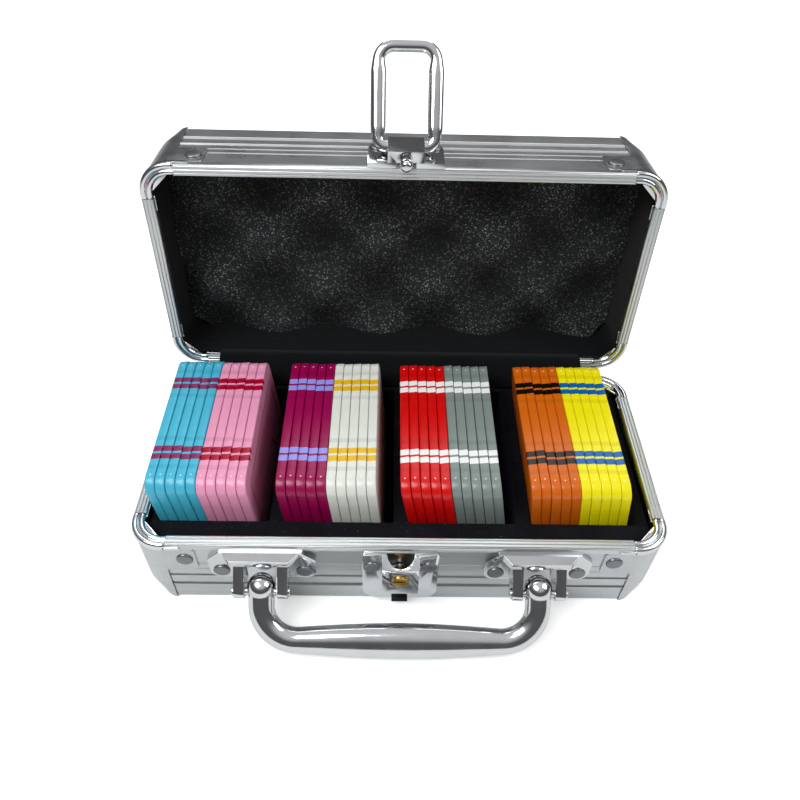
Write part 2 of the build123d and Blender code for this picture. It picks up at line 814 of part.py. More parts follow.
def latch_plate():
    top = latch_foot + latch_plate_height
    outline = Pos(0, (latch_foot + top) / 2) * Rectangle(latch_plate_width, latch_plate_height)
    outline = fillet(outline.vertices().sort_by(Axis.Y)[2:], latch_plate_corner)
    shape = extrude(Plane.XZ * outline, amount=latch_plate_face)
    half = housing_width / 2
    housing_top = housing_foot + housing_height
    side = [
        (0, housing_foot), (-housing_out, housing_foot), (-housing_out, housing_top - housing_slope),
        (-housing_out + housing_slope, housing_top), (0, housing_top),
    ]
    shape += prism_x(side, -half, half)
    recess_half = recess_width / 2
    shape -= block(
        (-recess_half, -recess_out, latch_foot - 1), (recess_half, -rim_overhang, housing_foot + recess_height)
    )
    shape -= Pos(0, -stud_out, housing_foot) * Cylinder(stud_radius, 2 * recess_height)
    rim_back = -rim_overhang - hinge_rim_clearance
    rim_room = base_height + rim_height + hinge_rim_clearance
    shape -= block((-latch_plate_width, rim_back, latch_foot - 1), (latch_plate_width, 1, rim_room))
    for sign in (-1, 1):
        ends = sorted((sign * (half - bail_pin_depth - 0.4), sign * (half + 1)))
        shape -= along_x(bail_pin_radius + running_clearance, ends[0], ends[1], -bail_pivot_out, bail_pivot_z)
    for x, z in latch_rivet_places():
        shape -= rivet_hole(x, base_height + lid_height - z)
    return shape


parts["lid_latch_plate"] = opened(on_side(latch_plate(), "front"))


def latch_stud():
    """A round stud with a domed head below a narrow neck."""
    top = housing_foot + recess_height
    tip = top - stud_length
    shape = Pos(0, 0, (top + tip + stud_head) / 2) * Cylinder(stud_radius, top - tip - stud_head)
    neck_z = tip + stud_head + stud_neck / 2
    ring = Cylinder(stud_radius + 1, stud_neck) - Cylinder(stud_neck_radius, stud_neck)
    head = Pos(0, 0, tip + stud_head / 2) * Cylinder(stud_radius, stud_head)
    head = fillet(head.edges().filter_by(GeomType.CIRCLE).sort_by(Axis.Z)[0], stud_head / 2)
    return Pos(0, -stud_out, 0) * (shape + head - Pos(0, 0, neck_z) * ring)


parts["latch_stud"] = opened(on_side(latch_stud(), "front"))


# Bail, made in the XY plane with its pivot on the X axis and its crossbar at -Y
def bail():
    half = housing_width / 2
    start = half + 0.5
    bend_x = bail_half_spacing - bail_bend
    path = Line((start, 0), (bend_x, 0)) if bend_x - start > 0.01 else None
    first = CenterArc((bend_x, -bail_bend), bail_bend, 90, -90)
    leg_end = -bail_length + bail_end_bend
    leg = Line((bail_half_spacing, -bail_bend), (bail_half_spacing, leg_end))
    last = CenterArc((bail_half_spacing - bail_end_bend, leg_end), bail_end_bend, 0, -90)
    cross = Line((bail_half_spacing - bail_end_bend, -bail_length), (0, -bail_length))
    route = first + leg + last + cross
    if path is not None:
        route = path + route
    first_x = start if path is not None else bend_x
    section = Plane(origin=(first_x, 0, 0), x_dir=(0, 1, 0), z_dir=(1, 0, 0))
    arm = sweep(section * Ellipse(bail_cross_half_width, bail_cross_half_thickness), path=route)
    arm += along_x(bail_pin_radius, half - bail_pin_depth, first_x + 0.2, 0, 0)
    thick_leg = Pos(bail_half_spacing, 0, 0) * extrude(
        Plane(origin=(0, -bail_bend, 0), x_dir=(1, 0, 0), z_dir=(0, -1, 0))
        * Ellipse(bail_half_width, bail_half_thickness),
        amount=-leg_end - bail_bend,
    )
    arm += thick_leg
    return arm + mirror(arm, about=Plane.YZ)


bail_closed = Pos(0, -half_depth - bail_pivot_out, bail_pivot_z) * Rot(-bail_rest_rise, 0, 0) * bail()
parts["latch_bail"] = opened(bail_closed)

base_rivets = corner_rivets(base_height)
for x, z in bracket_rivet_places():
    base_rivets.append(on_side(rivet(x, z, bracket_thickness, wall_thickness), "front"))
for x, z in lock_rivet_places():
    base_rivets.append(on_side(rivet(x, z, lock_plate_face, wall_thickness), "front"))
parts["base_rivets"] = group(base_rivets)
lid_rivets = corner_rivets(lid_height)
for x, z in latch_rivet_places():
    lid_rivets.append(on_side(rivet(x, z, latch_plate_face, wall_thickness), "front"))
parts["lid_rivets"] = lid_finish(group(lid_rivets))

for name, shape in parts.items():
    export_step(shape, f"parts/{name}.step")
print(len(parts), "nodes")
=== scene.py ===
"""The looks of an aluminium plaque case, built round its packed frame.

Builders work in millimetres, +Z up, with the front wall facing -Y and the hinge at +Y.
A piece of the lid is made with the lid shut and then swung open.
"""

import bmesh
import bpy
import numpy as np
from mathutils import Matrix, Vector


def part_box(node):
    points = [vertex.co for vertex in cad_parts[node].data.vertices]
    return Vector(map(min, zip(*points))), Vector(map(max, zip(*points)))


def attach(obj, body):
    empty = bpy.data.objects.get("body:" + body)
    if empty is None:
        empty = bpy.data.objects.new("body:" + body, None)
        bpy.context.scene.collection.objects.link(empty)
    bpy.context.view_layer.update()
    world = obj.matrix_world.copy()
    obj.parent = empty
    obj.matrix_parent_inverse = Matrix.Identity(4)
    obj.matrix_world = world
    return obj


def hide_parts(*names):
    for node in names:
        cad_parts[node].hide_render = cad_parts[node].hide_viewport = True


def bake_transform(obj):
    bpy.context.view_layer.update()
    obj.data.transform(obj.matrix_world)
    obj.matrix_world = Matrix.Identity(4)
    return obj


bl_info = {
    "name": "Plaque Case",
    "version": (1, 0, 0),
    "blender": (4, 5, 0),
    "location": "View3D > Sidebar > Plaque Case",
    "description": "Builds an open aluminium case with a slotted tray of playing plaques",
    "category": "Add Mesh",
}

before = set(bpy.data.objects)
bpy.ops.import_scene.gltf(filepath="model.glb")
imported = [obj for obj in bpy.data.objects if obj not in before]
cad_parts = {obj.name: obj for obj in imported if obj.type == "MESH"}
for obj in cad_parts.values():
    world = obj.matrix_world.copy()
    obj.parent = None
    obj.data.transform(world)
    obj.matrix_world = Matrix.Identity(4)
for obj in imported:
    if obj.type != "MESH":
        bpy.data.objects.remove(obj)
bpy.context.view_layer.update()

MM = 0.001
SIDES = ("front", "rear", "left", "right")
CORNERS = ("front_left", "front_right", "rear_left", "rear_right")
MERGE_DISTANCE = 2e-6
SHARP_ANGLE = np.radians(42)
FLAT_ANGLE = np.radians(0.6)
BEVEL_ANGLE = np.radians(36)
CURVED_SHEET_ANGLE = np.radians(60)
FOAM_ANGLE = np.radians(50)
# The hinge axis lies this far behind the rear wall, in the plane where the halves meet
HINGE_OUT = 3.0


# Sizes and colours

def color(code):
    """Linear red, green and blue of an sRGB hex colour such as #C8CACC."""
    value = np.array([int(code[i:i + 2], 16) for i in (1, 3, 5)]) / 255
    linear = np.where(value <= 0.04045, value / 12.92, ((value + 0.055) / 1.055) ** 2.4)
    return tuple(float(x) for x in linear)


def length(name, description, millimetres):
    """A length property, stored in metres and written in millimetres."""
    return bpy.props.FloatProperty(
        name=name, description=description, default=millimetres * MM,
        min=0.0, unit="LENGTH", precision=4,
    )


def angle(name, description, degrees):
    """An angle property, written in degrees."""
    return bpy.props.FloatProperty(
        name=name, description=description, default=float(np.radians(degrees)), subtype="ANGLE",
    )


def tint(name, description, code):
    """A colour property whose default is a hex colour."""
    return bpy.props.FloatVectorProperty(
        name=name, description=description, default=color(code),
        subtype="COLOR", size=3, min=0.0, max=1.0,
    )


class CaseSizes(bpy.types.PropertyGroup):
    width: length("Width", "Outside width of the case along the front wall", 254.0)
    depth: length("Depth", "Outside depth of the case from front to hinge", 116.0)
    half_height: length("Half height", "Height of the base and of the lid", 48.0)
    open_angle: angle("Open angle", "How far the lid stands open", 95.5)
    wall: length("Wall", "Thickness of the wall extrusions", 2.4)
    rim_height: length("Rim height", "Height of the bright rim strips", 3.8)
    rim_width: length("Rim inside", "How far the rim reaches in from the wall's outer face", 5.0)
    rim_overhang: length("Rim overhang", "How far the rim stands out from the wall", 0.8)
    bead_radius: length("Corner bead", "Radius of each bead on the chrome rim corners", 1.6)
    corner_radius: length("Corner radius", "Outside radius of the case's upright corners", 15.0)
    rivet_radius: length("Rivet radius", "Radius of the large flat rivet heads", 4.0)
    foam_wave: length("Foam wave", "Distance between two crests of the egg-crate foam", 61.0)
    foam_depth: length("Foam depth", "Height from the foam's hollows to its crests", 9.0)


class PlaqueSizes(bpy.types.PropertyGroup):
    length: length("Length", "Long side of a plaque", 88.0)
    height: length("Height", "Short side of a plaque", 55.0)
    corner: length("Corner", "Corner radius of a plaque", 7.0)
    edge: length("Edge", "Rounding of a plaque's arris", 0.5)
    stripe_inner: length("Inner stripe", "Inner edge stripe from the plaque's middle", 21.2)
    stripe_outer: length("Outer stripe", "Outer edge stripe from the plaque's middle", 25.9)
    stripe_width: length("Stripe width", "Width of one edge stripe", 3.45)


class CaseColours(bpy.types.PropertyGroup):
    aluminium: tint("Aluminium", "Brushed wall extrusions", "#C6C9CB")
    rim: tint("Rim", "Polished rim strips", "#CDD1D1")
    chrome: tint("Chrome", "Plated corners, handle, brackets and latch", "#D6D8DA")
    cover: tint("Cover", "Stamped corner covers", "#BFC2C4")
    rivet: tint("Rivet", "Steel rivet heads", "#84878A")
    brass: tint("Brass", "Lock cylinder", "#C7A24E")
    panel: tint("Panel", "Outer panels of base and lid", "#B9BCBF")
    flock: tint("Flock", "Flocked plaque tray", "#0B0C11")
    foam: tint("Foam", "Egg-crate foam", "#1F2426")
    lining: tint("Lining", "Cloth inside the lid and over the hinge", "#06080B")
    hinge: tint("Hinge", "Hinge plates and lock cam", "#A6A8AA")
    catch: tint("Catch", "Dark tab below the lock", "#2A2B2D")


def in_mm(group):
    """The values of a property group by name: lengths in millimetres, angles in degrees."""
    values = {}
    for name in group.__annotations__:
        value = getattr(group, name)
        if isinstance(value, float):
            value = float(np.degrees(value)) if name.endswith("_angle") else value / MM
        values[name] = value
    return values


def sizes():
    return in_mm(bpy.context.scene.plaque_case_sizes)


def plaque_sizes():
    return in_mm(bpy.context.scene.plaque_case_plaques)


def case_colour(name):
    """A colour of the case as linear red, green and blue."""
    return tuple(getattr(bpy.context.scene.plaque_case_colours, name))


# Placing points

def stack(x, y, z):
    """Points from three arrays of the same shape, or that broadcast to one."""
    return np.stack(np.broadcast_arrays(x, y, z), axis=-1).astype(float)


def turned(points, degrees):
    """Points turned about the X axis by the right hand."""
    a = np.radians(degrees)
    y, z = points[..., 1], points[..., 2]
    return stack(points[..., 0], y * np.cos(a) - z * np.sin(a), y * np.sin(a) + z * np.cos(a))


def on_side(points, side):
    """Points from the front wall's frame, outer face at y = 0 and inside at +y, moved to a side."""
    s = sizes()
    x, y, z = points[..., 0], points[..., 1], points[..., 2]
    half_x, half_y = s["width"] / 2, s["depth"] / 2
    places = {
        "front": (x, y - half_y), "rear": (-x, half_y - y),
        "left": (y - half_x, -x), "right": (half_x - y, x),
    }
    return stack(*places[side], z)


def to_corner(points, corner):
    """Points of the front left corner mirrored to another corner."""
    flip_x = -1 if corner.endswith("right") else 1
    flip_y = -1 if corner.startswith("rear") else 1
    return points * np.array([flip_x, flip_y, 1])


def opened(points):
    """Points of the shut lid swung about the hinge to where the lid stands open."""
    s = sizes()
    hinge = np.array([0, s["depth"] / 2 + HINGE_OUT, s["half_height"]])
    return turned(points - hinge, -s["open_angle"]) + hinge


def to_lid(points):
    """Points in the base's way up turned over onto the shut lid and swung open."""
    return opened(points * np.array([1, 1, -1]) + np.array([0, 0, 2 * sizes()["half_height"]]))


def as_made(points):
    """Points of the base, which stay where they are."""
    return points


# Surfaces

def shell(points, wrap_rows=False, wrap_columns=False, caps=False):
    """A surface over a grid of rows and columns of points. caps closes its first and last row."""
    rows, columns = points.shape[:2]
    index = np.arange(rows * columns).reshape(rows, columns)
    ends = [index[0][::-1], index[-1]] if caps else []
    if wrap_rows:
        index = np.vstack([index, index[:1]])
    if wrap_columns:
        index = np.hstack([index, index[:, :1]])
    quads = np.stack([index[:-1, :-1], index[:-1, 1:], index[1:, 1:], index[1:, :-1]], axis=-1)
    return points.reshape(-1, 3), quads.reshape(-1, 4), ends


def moved(one_shell, place):
    """A shell with its points passed through a placing function."""
    return place(one_shell[0]), one_shell[1], one_shell[2]


def extruded(profile, start, end, ease):
    """A closed (y, z) profile carried along X, a little smaller at its ends to ease them."""
    middle = profile.mean(axis=0)
    reach = np.abs(profile - middle).max()
    small = middle + (profile - middle) * (1 - ease / reach)
    x = np.array([start, start + ease, end - ease, end])
    rings = np.stack([small, profile, profile, small])
    return shell(stack(x[:, None], rings[..., 0], rings[..., 1]), wrap_columns=True, caps=True)


def plate(outline, low, high, ease):
    """A flat (x, y) outline as a slab from low to high, its edges eased by quarter rounds."""
    middle = outline.mean(axis=0)
    edge = np.roll(outline, -1, axis=0) - np.roll(outline, 1, axis=0)
    normal = stack(edge[:, 1], -edge[:, 0], 0)[:, :2]
    normal /= np.linalg.norm(normal, axis=1)[:, None]
    if ((outline - middle) * normal).sum() < 0:
        normal = -normal
    turn = np.linspace(0, np.pi / 2, 4)
    inset = np.concatenate([ease * (1 - np.sin(turn)), ease * (1 - np.cos(turn))])
    height = np.concatenate([low + ease * (1 - np.cos(turn)), high - ease * (1 - np.sin(turn))])
    xy = outline[None] - normal[None] * inset[:, None, None]
    return shell(stack(xy[..., 0], xy[..., 1], height[:, None]), wrap_columns=True, caps=True)


def turned_part(profile, around=48):
    """(radius, height) pairs turned about the Y axis, with height running out to -Y."""
    profile = np.asarray(profile, float)
    t = np.linspace(0, 2 * np.pi, around, endpoint=False)
    radius, height = profile[:, :1], profile[:, 1:]
    return shell(stack(radius * np.cos(t), -height, radius * np.sin(t)), wrap_columns=True)


def sweep(centres, across, half_across, half_up, power, around):
    """A superellipse carried along a path in XY. across is each point's in-plane normal."""
    t = np.linspace(0, 2 * np.pi, around, endpoint=False)
    c = np.sign(np.cos(t)) * np.abs(np.cos(t)) ** (2 / power)
    s = np.sign(np.sin(t)) * np.abs(np.sin(t)) ** (2 / power)
    side = (half_across[:, None] * c)[..., None] * across[:, None, :]
    points = centres[:, None, :] + side + (half_up[:, None] * s)[..., None] * np.array([0, 0, 1.0])
    return shell(points, wrap_columns=True, caps=True)


def arc(centre, radius, start, end, count):
    """(x, y) points on an arc between two angles in degrees."""
    t = np.radians(np.linspace(start, end, count))
    return np.stack([centre[0] + radius * np.cos(t), centre[1] + radius * np.sin(t)], axis=-1)


def resampled(path, step):
    """An (x, y) polyline divided evenly at about the given step, with its in-plane normals."""
    gap = np.linalg.norm(np.diff(path, axis=0), axis=1)
    path = path[np.concatenate([[True], gap > 1e-6])]
    along = np.concatenate([[0], np.cumsum(np.linalg.norm(np.diff(path, axis=0), axis=1))])
    at = np.linspace(0, along[-1], int(round(along[-1] / step)) + 1)
    even = np.stack([np.interp(at, along, path[:, axis]) for axis in (0, 1)], axis=-1)
    tangent = np.gradient(even, axis=0)
    tangent /= np.linalg.norm(tangent, axis=1)[:, None]
    return even, np.stack([tangent[:, 1], -tangent[:, 0]], axis=-1)


def mirrored_path(left, step):
    """The left half of a U mirrored and divided evenly, as centres and in-plane normals."""
    path, across = resampled(np.concatenate([left, left[::-1] * [-1, 1]]), step)
    return stack(path[:, 0], path[:, 1], 0.0), stack(across[:, 0], across[:, 1], 0.0)


def smooth_step(value, start, end):
    """0 before start and 1 after end, with a smooth cubic between."""
    t = np.clip((value - start) / (end - start), 0, 1)
    return t * t * (3 - 2 * t)


# Making pieces

def mesh_piece(name, shells, place_attribute=None, sharp=SHARP_ANGLE):
    """One object from several shells. Doubles are merged, so poles close, and faces turned out."""
    start, points, faces = 0, [], []
    for vertices, quads, ends in shells:
        points.append(vertices)
        faces.extend((quads + start).tolist())
        faces.extend((end + start).tolist() for end in ends)
        start += len(vertices)
    mesh = bpy.data.meshes.new(name)
    mesh.from_pydata((np.concatenate(points) * MM).tolist(), [], faces)
    if place_attribute is not None:
        layer = mesh.attributes.new("plaque_place", "FLOAT_VECTOR", "POINT")
        layer.data.foreach_set("vector", place_attribute.astype(np.float32).ravel())
    clean = bmesh.new()
    clean.from_mesh(mesh)
    bmesh.ops.remove_doubles(clean, verts=clean.verts, dist=MERGE_DISTANCE)
    bmesh.ops.dissolve_degenerate(clean, edges=clean.edges, dist=MERGE_DISTANCE / 2)
    bmesh.ops.recalc_face_normals(clean, faces=clean.faces)
    clean.to_mesh(mesh)
    clean.free()
    return shown(mesh, name, sharp)


def shown(mesh, name, sharp=None):
    """A mesh as an object in the scene, with smooth faces and sharp edges past an angle."""
    mesh.polygons.foreach_set("use_smooth", np.ones(len(mesh.polygons), bool))
    if sharp is not None:
        mesh.set_sharp_from_angle(angle=sharp)
    piece = bpy.data.objects.new(name, mesh)
    bpy.context.scene.collection.objects.link(piece)
    return piece


def dressed(piece, body, slot, material, *nodes):
    """Gives a piece its material, its body and the CAD nodes it stands for. The slot is not used.
    """
    piece.data.materials.clear()
    piece.data.materials.append(material)
    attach(piece, body)
    if nodes:
        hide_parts(*nodes)


def eased_copy(node, name, ease):
    """A merged copy of a rigid CAD node, with its flat faces made whole and its edges rounded."""
    copy = bmesh.new()
    copy.from_mesh(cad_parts[node].data)
    bmesh.ops.remove_doubles(copy, verts=copy.verts, dist=MERGE_DISTANCE)
    bmesh.ops.dissolve_limit(copy, angle_limit=FLAT_ANGLE, verts=copy.verts, edges=copy.edges)
    mesh = bpy.data.meshes.new(name)
    copy.to_mesh(mesh)
    copy.free()
    piece = shown(mesh, name)
    bevel = piece.modifiers.new("Eased edges", "BEVEL")
    bevel.width, bevel.segments = ease * MM, 3
    bevel.limit_method, bevel.angle_limit = "ANGLE", BEVEL_ANGLE
    bevel.harden_normals = bevel.use_clamp_overlap = True
    return piece


def rebuilt(node, name, ease, body, slot, material):
    """Adds an eased copy that stands for its CAD node."""
    dressed(eased_copy(node, name, ease), body, slot, material, node)


def paint_node(node, material):
    """Gives a CAD node that stays a better material."""
    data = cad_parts[node].data
    data.materials.clear()
    data.materials.append(material)


# Materials

def add_node(tree, kind, inputs=(), **settings):
    """Adds a node. inputs pairs a socket's name or number with a value or another node's output."""
    node = tree.nodes.new(kind)
    for name, value in settings.items():
        setattr(node, name, value)
    for socket, value in inputs:
        if isinstance(value, bpy.types.NodeSocket):
            tree.links.new(value, node.inputs[socket])
        else:
            node.inputs[socket].default_value = value
    return node


def new_material(name, base, metallic, roughness, extra=()):
    """A principled material. Returns it with the object coordinates."""
    old = bpy.data.materials.get(name)
    if old:
        bpy.data.materials.remove(old)
    material = bpy.data.materials.new(name)
    material.use_nodes = True
    tree = material.node_tree
    values = [("Base Color", (*base, 1)), ("Metallic", metallic), ("Roughness", roughness)]
    for socket, value in [*values, *extra]:
        tree.nodes["Principled BSDF"].inputs[socket].default_value = value
    return material, add_node(tree, "ShaderNodeTexCoord").outputs["Object"]


def linked(material, links):
    """The material with outputs linked to its shader's named sockets."""
    tree = material.node_tree
    for socket, output in links.items():
        tree.links.new(output, tree.nodes["Principled BSDF"].inputs[socket])
    return material


def noise(place, size, detail, stretch=(1, 1, 1), turn=(0, 0, 0)):
    """Noise whose features are about size millimetres across, stretched along its own axes."""
    tree = place.id_data
    scale = [1 / (size * MM * s) for s in stretch]
    mapping = add_node(tree, "ShaderNodeMapping", [("Vector", place), ("Rotation", turn)])
    inputs = [(0, mapping.outputs[0]), (1, scale)]
    sized = add_node(tree, "ShaderNodeVectorMath", inputs, operation="MULTIPLY")
    inputs = [("Vector", sized.outputs[0]), ("Scale", 1.0), ("Detail", detail)]
    return add_node(tree, "ShaderNodeTexNoise", inputs).outputs["Fac"]


def ranged(value, low, high, start=0.0, end=1.0):
    """A value between start and end carried to between low and high."""
    inputs = [
        ("Value", value), ("From Min", start), ("From Max", end), ("To Min", low), ("To Max", high),
    ]
    return add_node(value.id_data, "ShaderNodeMapRange", inputs).outputs[0]


def mixed(factor, first, second):
    """Two colours mixed by a factor."""
    inputs = [(0, factor)]
    for socket, value in ((6, first), (7, second)):
        inputs.append((socket, value if isinstance(value, bpy.types.NodeSocket) else (*value, 1)))
    return add_node(factor.id_data, "ShaderNodeMix", inputs, data_type="RGBA").outputs[2]


def scaled(base, factor):
    """A colour made darker or paler by a factor."""
    return tuple(factor * x for x in base)


def shaded(value, base, amount, *between):
    """A colour darkened by up to amount where a value, or its place between two, is low."""
    if between:
        value = ranged(value, 0, 1, *between)
    return mixed(value, scaled(base, 1 - amount), base)


def bump(height, distance):
    """The normal of a surface raised by distance millimetres where height is 1."""
    inputs = [("Height", height), ("Distance", distance * MM), ("Strength", 1.0)]
    return add_node(height.id_data, "ShaderNodeBump", inputs).outputs[0]


def math(operation, *values):
    """A math node's value. ADD, MULTIPLY and MAXIMUM take any number of values."""
    if operation in ("ADD", "MULTIPLY", "MAXIMUM") and len(values) > 2:
        values = math(operation, *values[:-1]), values[-1]
    tree = next(value.id_data for value in values if isinstance(value, bpy.types.NodeSocket))
    inputs = list(enumerate(values))
    return add_node(tree, "ShaderNodeMath", inputs, operation=operation).outputs[0]


def xyz(vector):
    """The three components of a vector or a colour."""
    return add_node(vector.id_data, "ShaderNodeSeparateXYZ", [(0, vector)]).outputs


# Brushed aluminium extrusion: long grain along its run, so highlights smear across it and its
# tone wanders slightly in streaks. Grain is drawn 0.18 or 0.25 mm wide; the real one is finer.
def brushed_aluminium(name, base, along, turn, grain, depth):
    roughness = 0.3
    material, place = new_material(name, base, 1.0, roughness)
    stretch = [160.0 if axis == along else 1.0 for axis in "xyz"]
    rotation = (np.radians(turn), 0, 0)
    fine = noise(place, grain, 3.0, stretch, rotation)
    broad = noise(place, 5.0, 2.0, [s ** 0.6 for s in stretch], rotation)
    marks = ranged(noise(place, 24.0, 4.0), 0.88, 1.14, 0.3, 0.7)
    tone = math("MULTIPLY_ADD", broad, 0.6, ranged(fine, 0.0, 0.4))
    return linked(material, {
        "Base Color": shaded(tone, base, 0.16, 0.2, 0.8),
        "Roughness": math("MULTIPLY", ranged(fine, 0.8, 1.25), marks, roughness),
        "Normal": bump(fine, depth),
    })


# Nickel-chrome plate on pressed or cast metal: near mirror, with faint haze from handling.
def plated_chrome(part, roughness=0.07):
    base = case_colour("chrome")
    material, place = new_material(f"Chrome plate on {part}", base, 1.0, roughness)
    haze = noise(place, 9.0, 4.0)
    dull = ranged(haze, 0.0, 0.07, 0.35, 0.75)
    specks = ranged(noise(place, 0.7, 2.0), 0.0, 0.03, 0.6, 0.8)
    return linked(material, {
        "Base Color": shaded(haze, base, 0.06, 0.3, 0.7),
        "Roughness": math("ADD", dull, specks, roughness),
        "Normal": bump(noise(place, 6.0, 2.0), 0.03),
    })


# Satin metal sheet, brass or steel with a fine all-round grain that softens its shine evenly.
def satin_metal(name, colour, roughness, grain=0.4, tone=0.1):
    base = case_colour(colour)
    material, place = new_material(name, base, 1.0, roughness)
    fine = noise(place, grain, 2.0)
    wear = noise(place, 12.0, 5.0)
    worn = ranged(wear, -0.05, 0.07, 0.3, 0.7)
    return linked(material, {
        "Base Color": shaded(wear, base, tone, 0.3, 0.65),
        "Roughness": math("ADD", ranged(fine, -0.05, 0.05), worn, roughness),
        "Normal": bump(fine, 0.006),
    })


# Pebbled aluminium laminate on hardboard: small even bumps, painted shade in the hollows between
# them, a broken satin shine.
def pebbled_panel():
    base = case_colour("panel")
    material, place = new_material("Pebbled aluminium laminate", base, 1.0, 0.42)
    tree = material.node_tree
    inputs = [("Vector", place), ("Scale", 1 / (1.6 * MM))]
    cells = add_node(tree, "ShaderNodeTexVoronoi", inputs, feature="SMOOTH_F1")
    height = ranged(cells.outputs["Distance"], 1.0, 0.0, 0.1, 0.7)
    # Painted shade: the colour is up to 18% darker where the bumps' height is low.
    return linked(material, {
        "Base Color": shaded(height, base, 0.18),
        "Roughness": ranged(noise(place, 30.0, 4.0), 0.36, 0.5, 0.3, 0.7),
        "Normal": bump(height, 0.12),
    })


# Nylon flock on a moulded tray: velvet-like, darkest face on and paler at a glance, with lint.
def flocked():
    base = case_colour("flock")
    extra = [
        ("Sheen Weight", 0.12), ("Sheen Roughness", 0.45),
        ("Sheen Tint", (*color("#8088A8"), 1)), ("Specular IOR Level", 0.15),
    ]
    material, place = new_material("Nylon flock on moulded tray", base, 0.0, 0.95, extra)
    brushed = ranged(noise(place, 14.0, 4.0), 0, 1, 0.3, 0.7)
    body = mixed(brushed, scaled(base, 0.6), scaled(base, 1.5))
    lint = math("GREATER_THAN", noise(place, 0.8, 1.0), 0.775)
    fibre = noise(place, 0.5, 1.0, (7, 1, 1), (0.3, 0.5, 0.7))
    dust = math("MAXIMUM", lint, math("GREATER_THAN", fibre, 0.8))
    dust = math("MULTIPLY", dust, 0.55)
    return linked(material, {
        "Base Color": mixed(dust, body, color("#7E8494")),
        "Normal": bump(noise(place, 0.5, 3.0), 0.15),
    })


# Open-cell polyurethane foam: matt charcoal with a pore about every 0.75 mm, each pore darkened
# by painted shade, and painted glints as highlights on the cell walls. Painted shade darkens it
# with its depth behind the crests, which lie FOAM_FACE inside the rim plane.
def open_cell_foam():
    base, s = case_colour("foam"), sizes()
    extra = [("Specular IOR Level", 0.3)]
    material, place = new_material("Open-cell polyurethane foam", base, 0.0, 0.9, extra)
    tree = material.node_tree
    inputs = [("Vector", place), ("Scale", 1 / (0.75 * MM)), ("Randomness", 1.0)]
    cells = add_node(tree, "ShaderNodeTexVoronoi", inputs).outputs
    # Painted shade: the colour is darker towards each cell's middle, where the pore lies.
    pore = ranged(cells["Distance"], 0.0, 1.0, 0.05, 0.6)
    _, y, z = xyz(place)
    turn = np.radians(s["open_angle"])
    rise = math("MULTIPLY", z, float(np.cos(turn)))
    behind = math("MULTIPLY_ADD", y, float(np.sin(turn)), rise)
    hinge = (s["depth"] / 2 + HINGE_OUT) * np.sin(turn) + s["half_height"] * np.cos(turn)
    crest = float(hinge + FOAM_FACE) * MM
    # Painted shade: 1 on the crests, falling to 0.22 in the hollows 9 mm behind them.
    lit = ranged(behind, 1.0, 0.22, crest, crest + 9 * MM)
    chance, vigour, _ = xyz(cells["Color"])
    patch = noise(place, 18.0, 3.0)
    tone = math("MULTIPLY", pore, lit, ranged(patch, 0.6, 1.2, 0.3, 0.7))
    body = mixed(tone, scaled(base, 0.2), scaled(base, 1.6))
    # Painted highlight: bright specks on a share of the cells, brighter on the crests.
    painted_glint = math(
        "MULTIPLY", math("GREATER_THAN", chance, 0.35),
        math("POWER", vigour, 3.0), math("LESS_THAN", cells["Distance"], 0.5),
        math("MULTIPLY", lit, ranged(patch, 0.5, 1.0, 0.35, 0.6)),
    )
    grain = math("MULTIPLY", noise(place, 0.45, 3.0), 0.6)
    return linked(material, {
        "Base Color": mixed(painted_glint, body, color("#B9BCB4")),
        "Normal": bump(math("ADD", pore, grain), 0.35),
    })


# Brushed nylon cloth: almost black navy, a slight weave of 0.6 mm threads under a short nap, with
# painted shade between the threads.
def woven_cloth(name):
    base = case_colour("lining")
    extra = [("Sheen Weight", 0.06), ("Sheen Roughness", 0.5), ("Specular IOR Level", 0.12)]
    material, place = new_material(name, base, 0.0, 0.92, extra)
    tree = material.node_tree
    inputs = [("Vector", place), ("Scale", 1 / (0.6 * MM) / 3.14), ("Distortion", 0.4)]
    waves = [add_node(tree, "ShaderNodeTexWave", inputs, bands_direction=axis) for axis in "XYZ"]
    threads = math("MAXIMUM", *(wave.outputs["Fac"] for wave in waves))
    nap = ranged(noise(place, 7.0, 4.0), 0.6, 1.1, 0.3, 0.7)
    # Painted shade: the colour is darker where the threads' bump is low, between them.
    tone = math("MULTIPLY", threads, nap)
    body = mixed(tone, scaled(base, 0.45), scaled(base, 1.3))
    lint = math("GREATER_THAN", noise(place, 0.7, 1.0), 0.8)
    dust = math("MULTIPLY", lint, 0.4)
    return linked(material, {
        "Base Color": mixed(dust, body, color("#747A8C")),
        "Normal": bump(threads, 0.06),
    })


# The marks of a plaque: the frame line's depth from the outline, and the middles of the slight
# bands of painted shadow on its edges and of the pale pip from the plaque's middle
FRAME_LINE_DEPTH = 9.0
GAP_SHADOW_PLACES = (14.6, 32.2)
PIP_PLACE = 37.0
PIP_RADIUS = 0.42
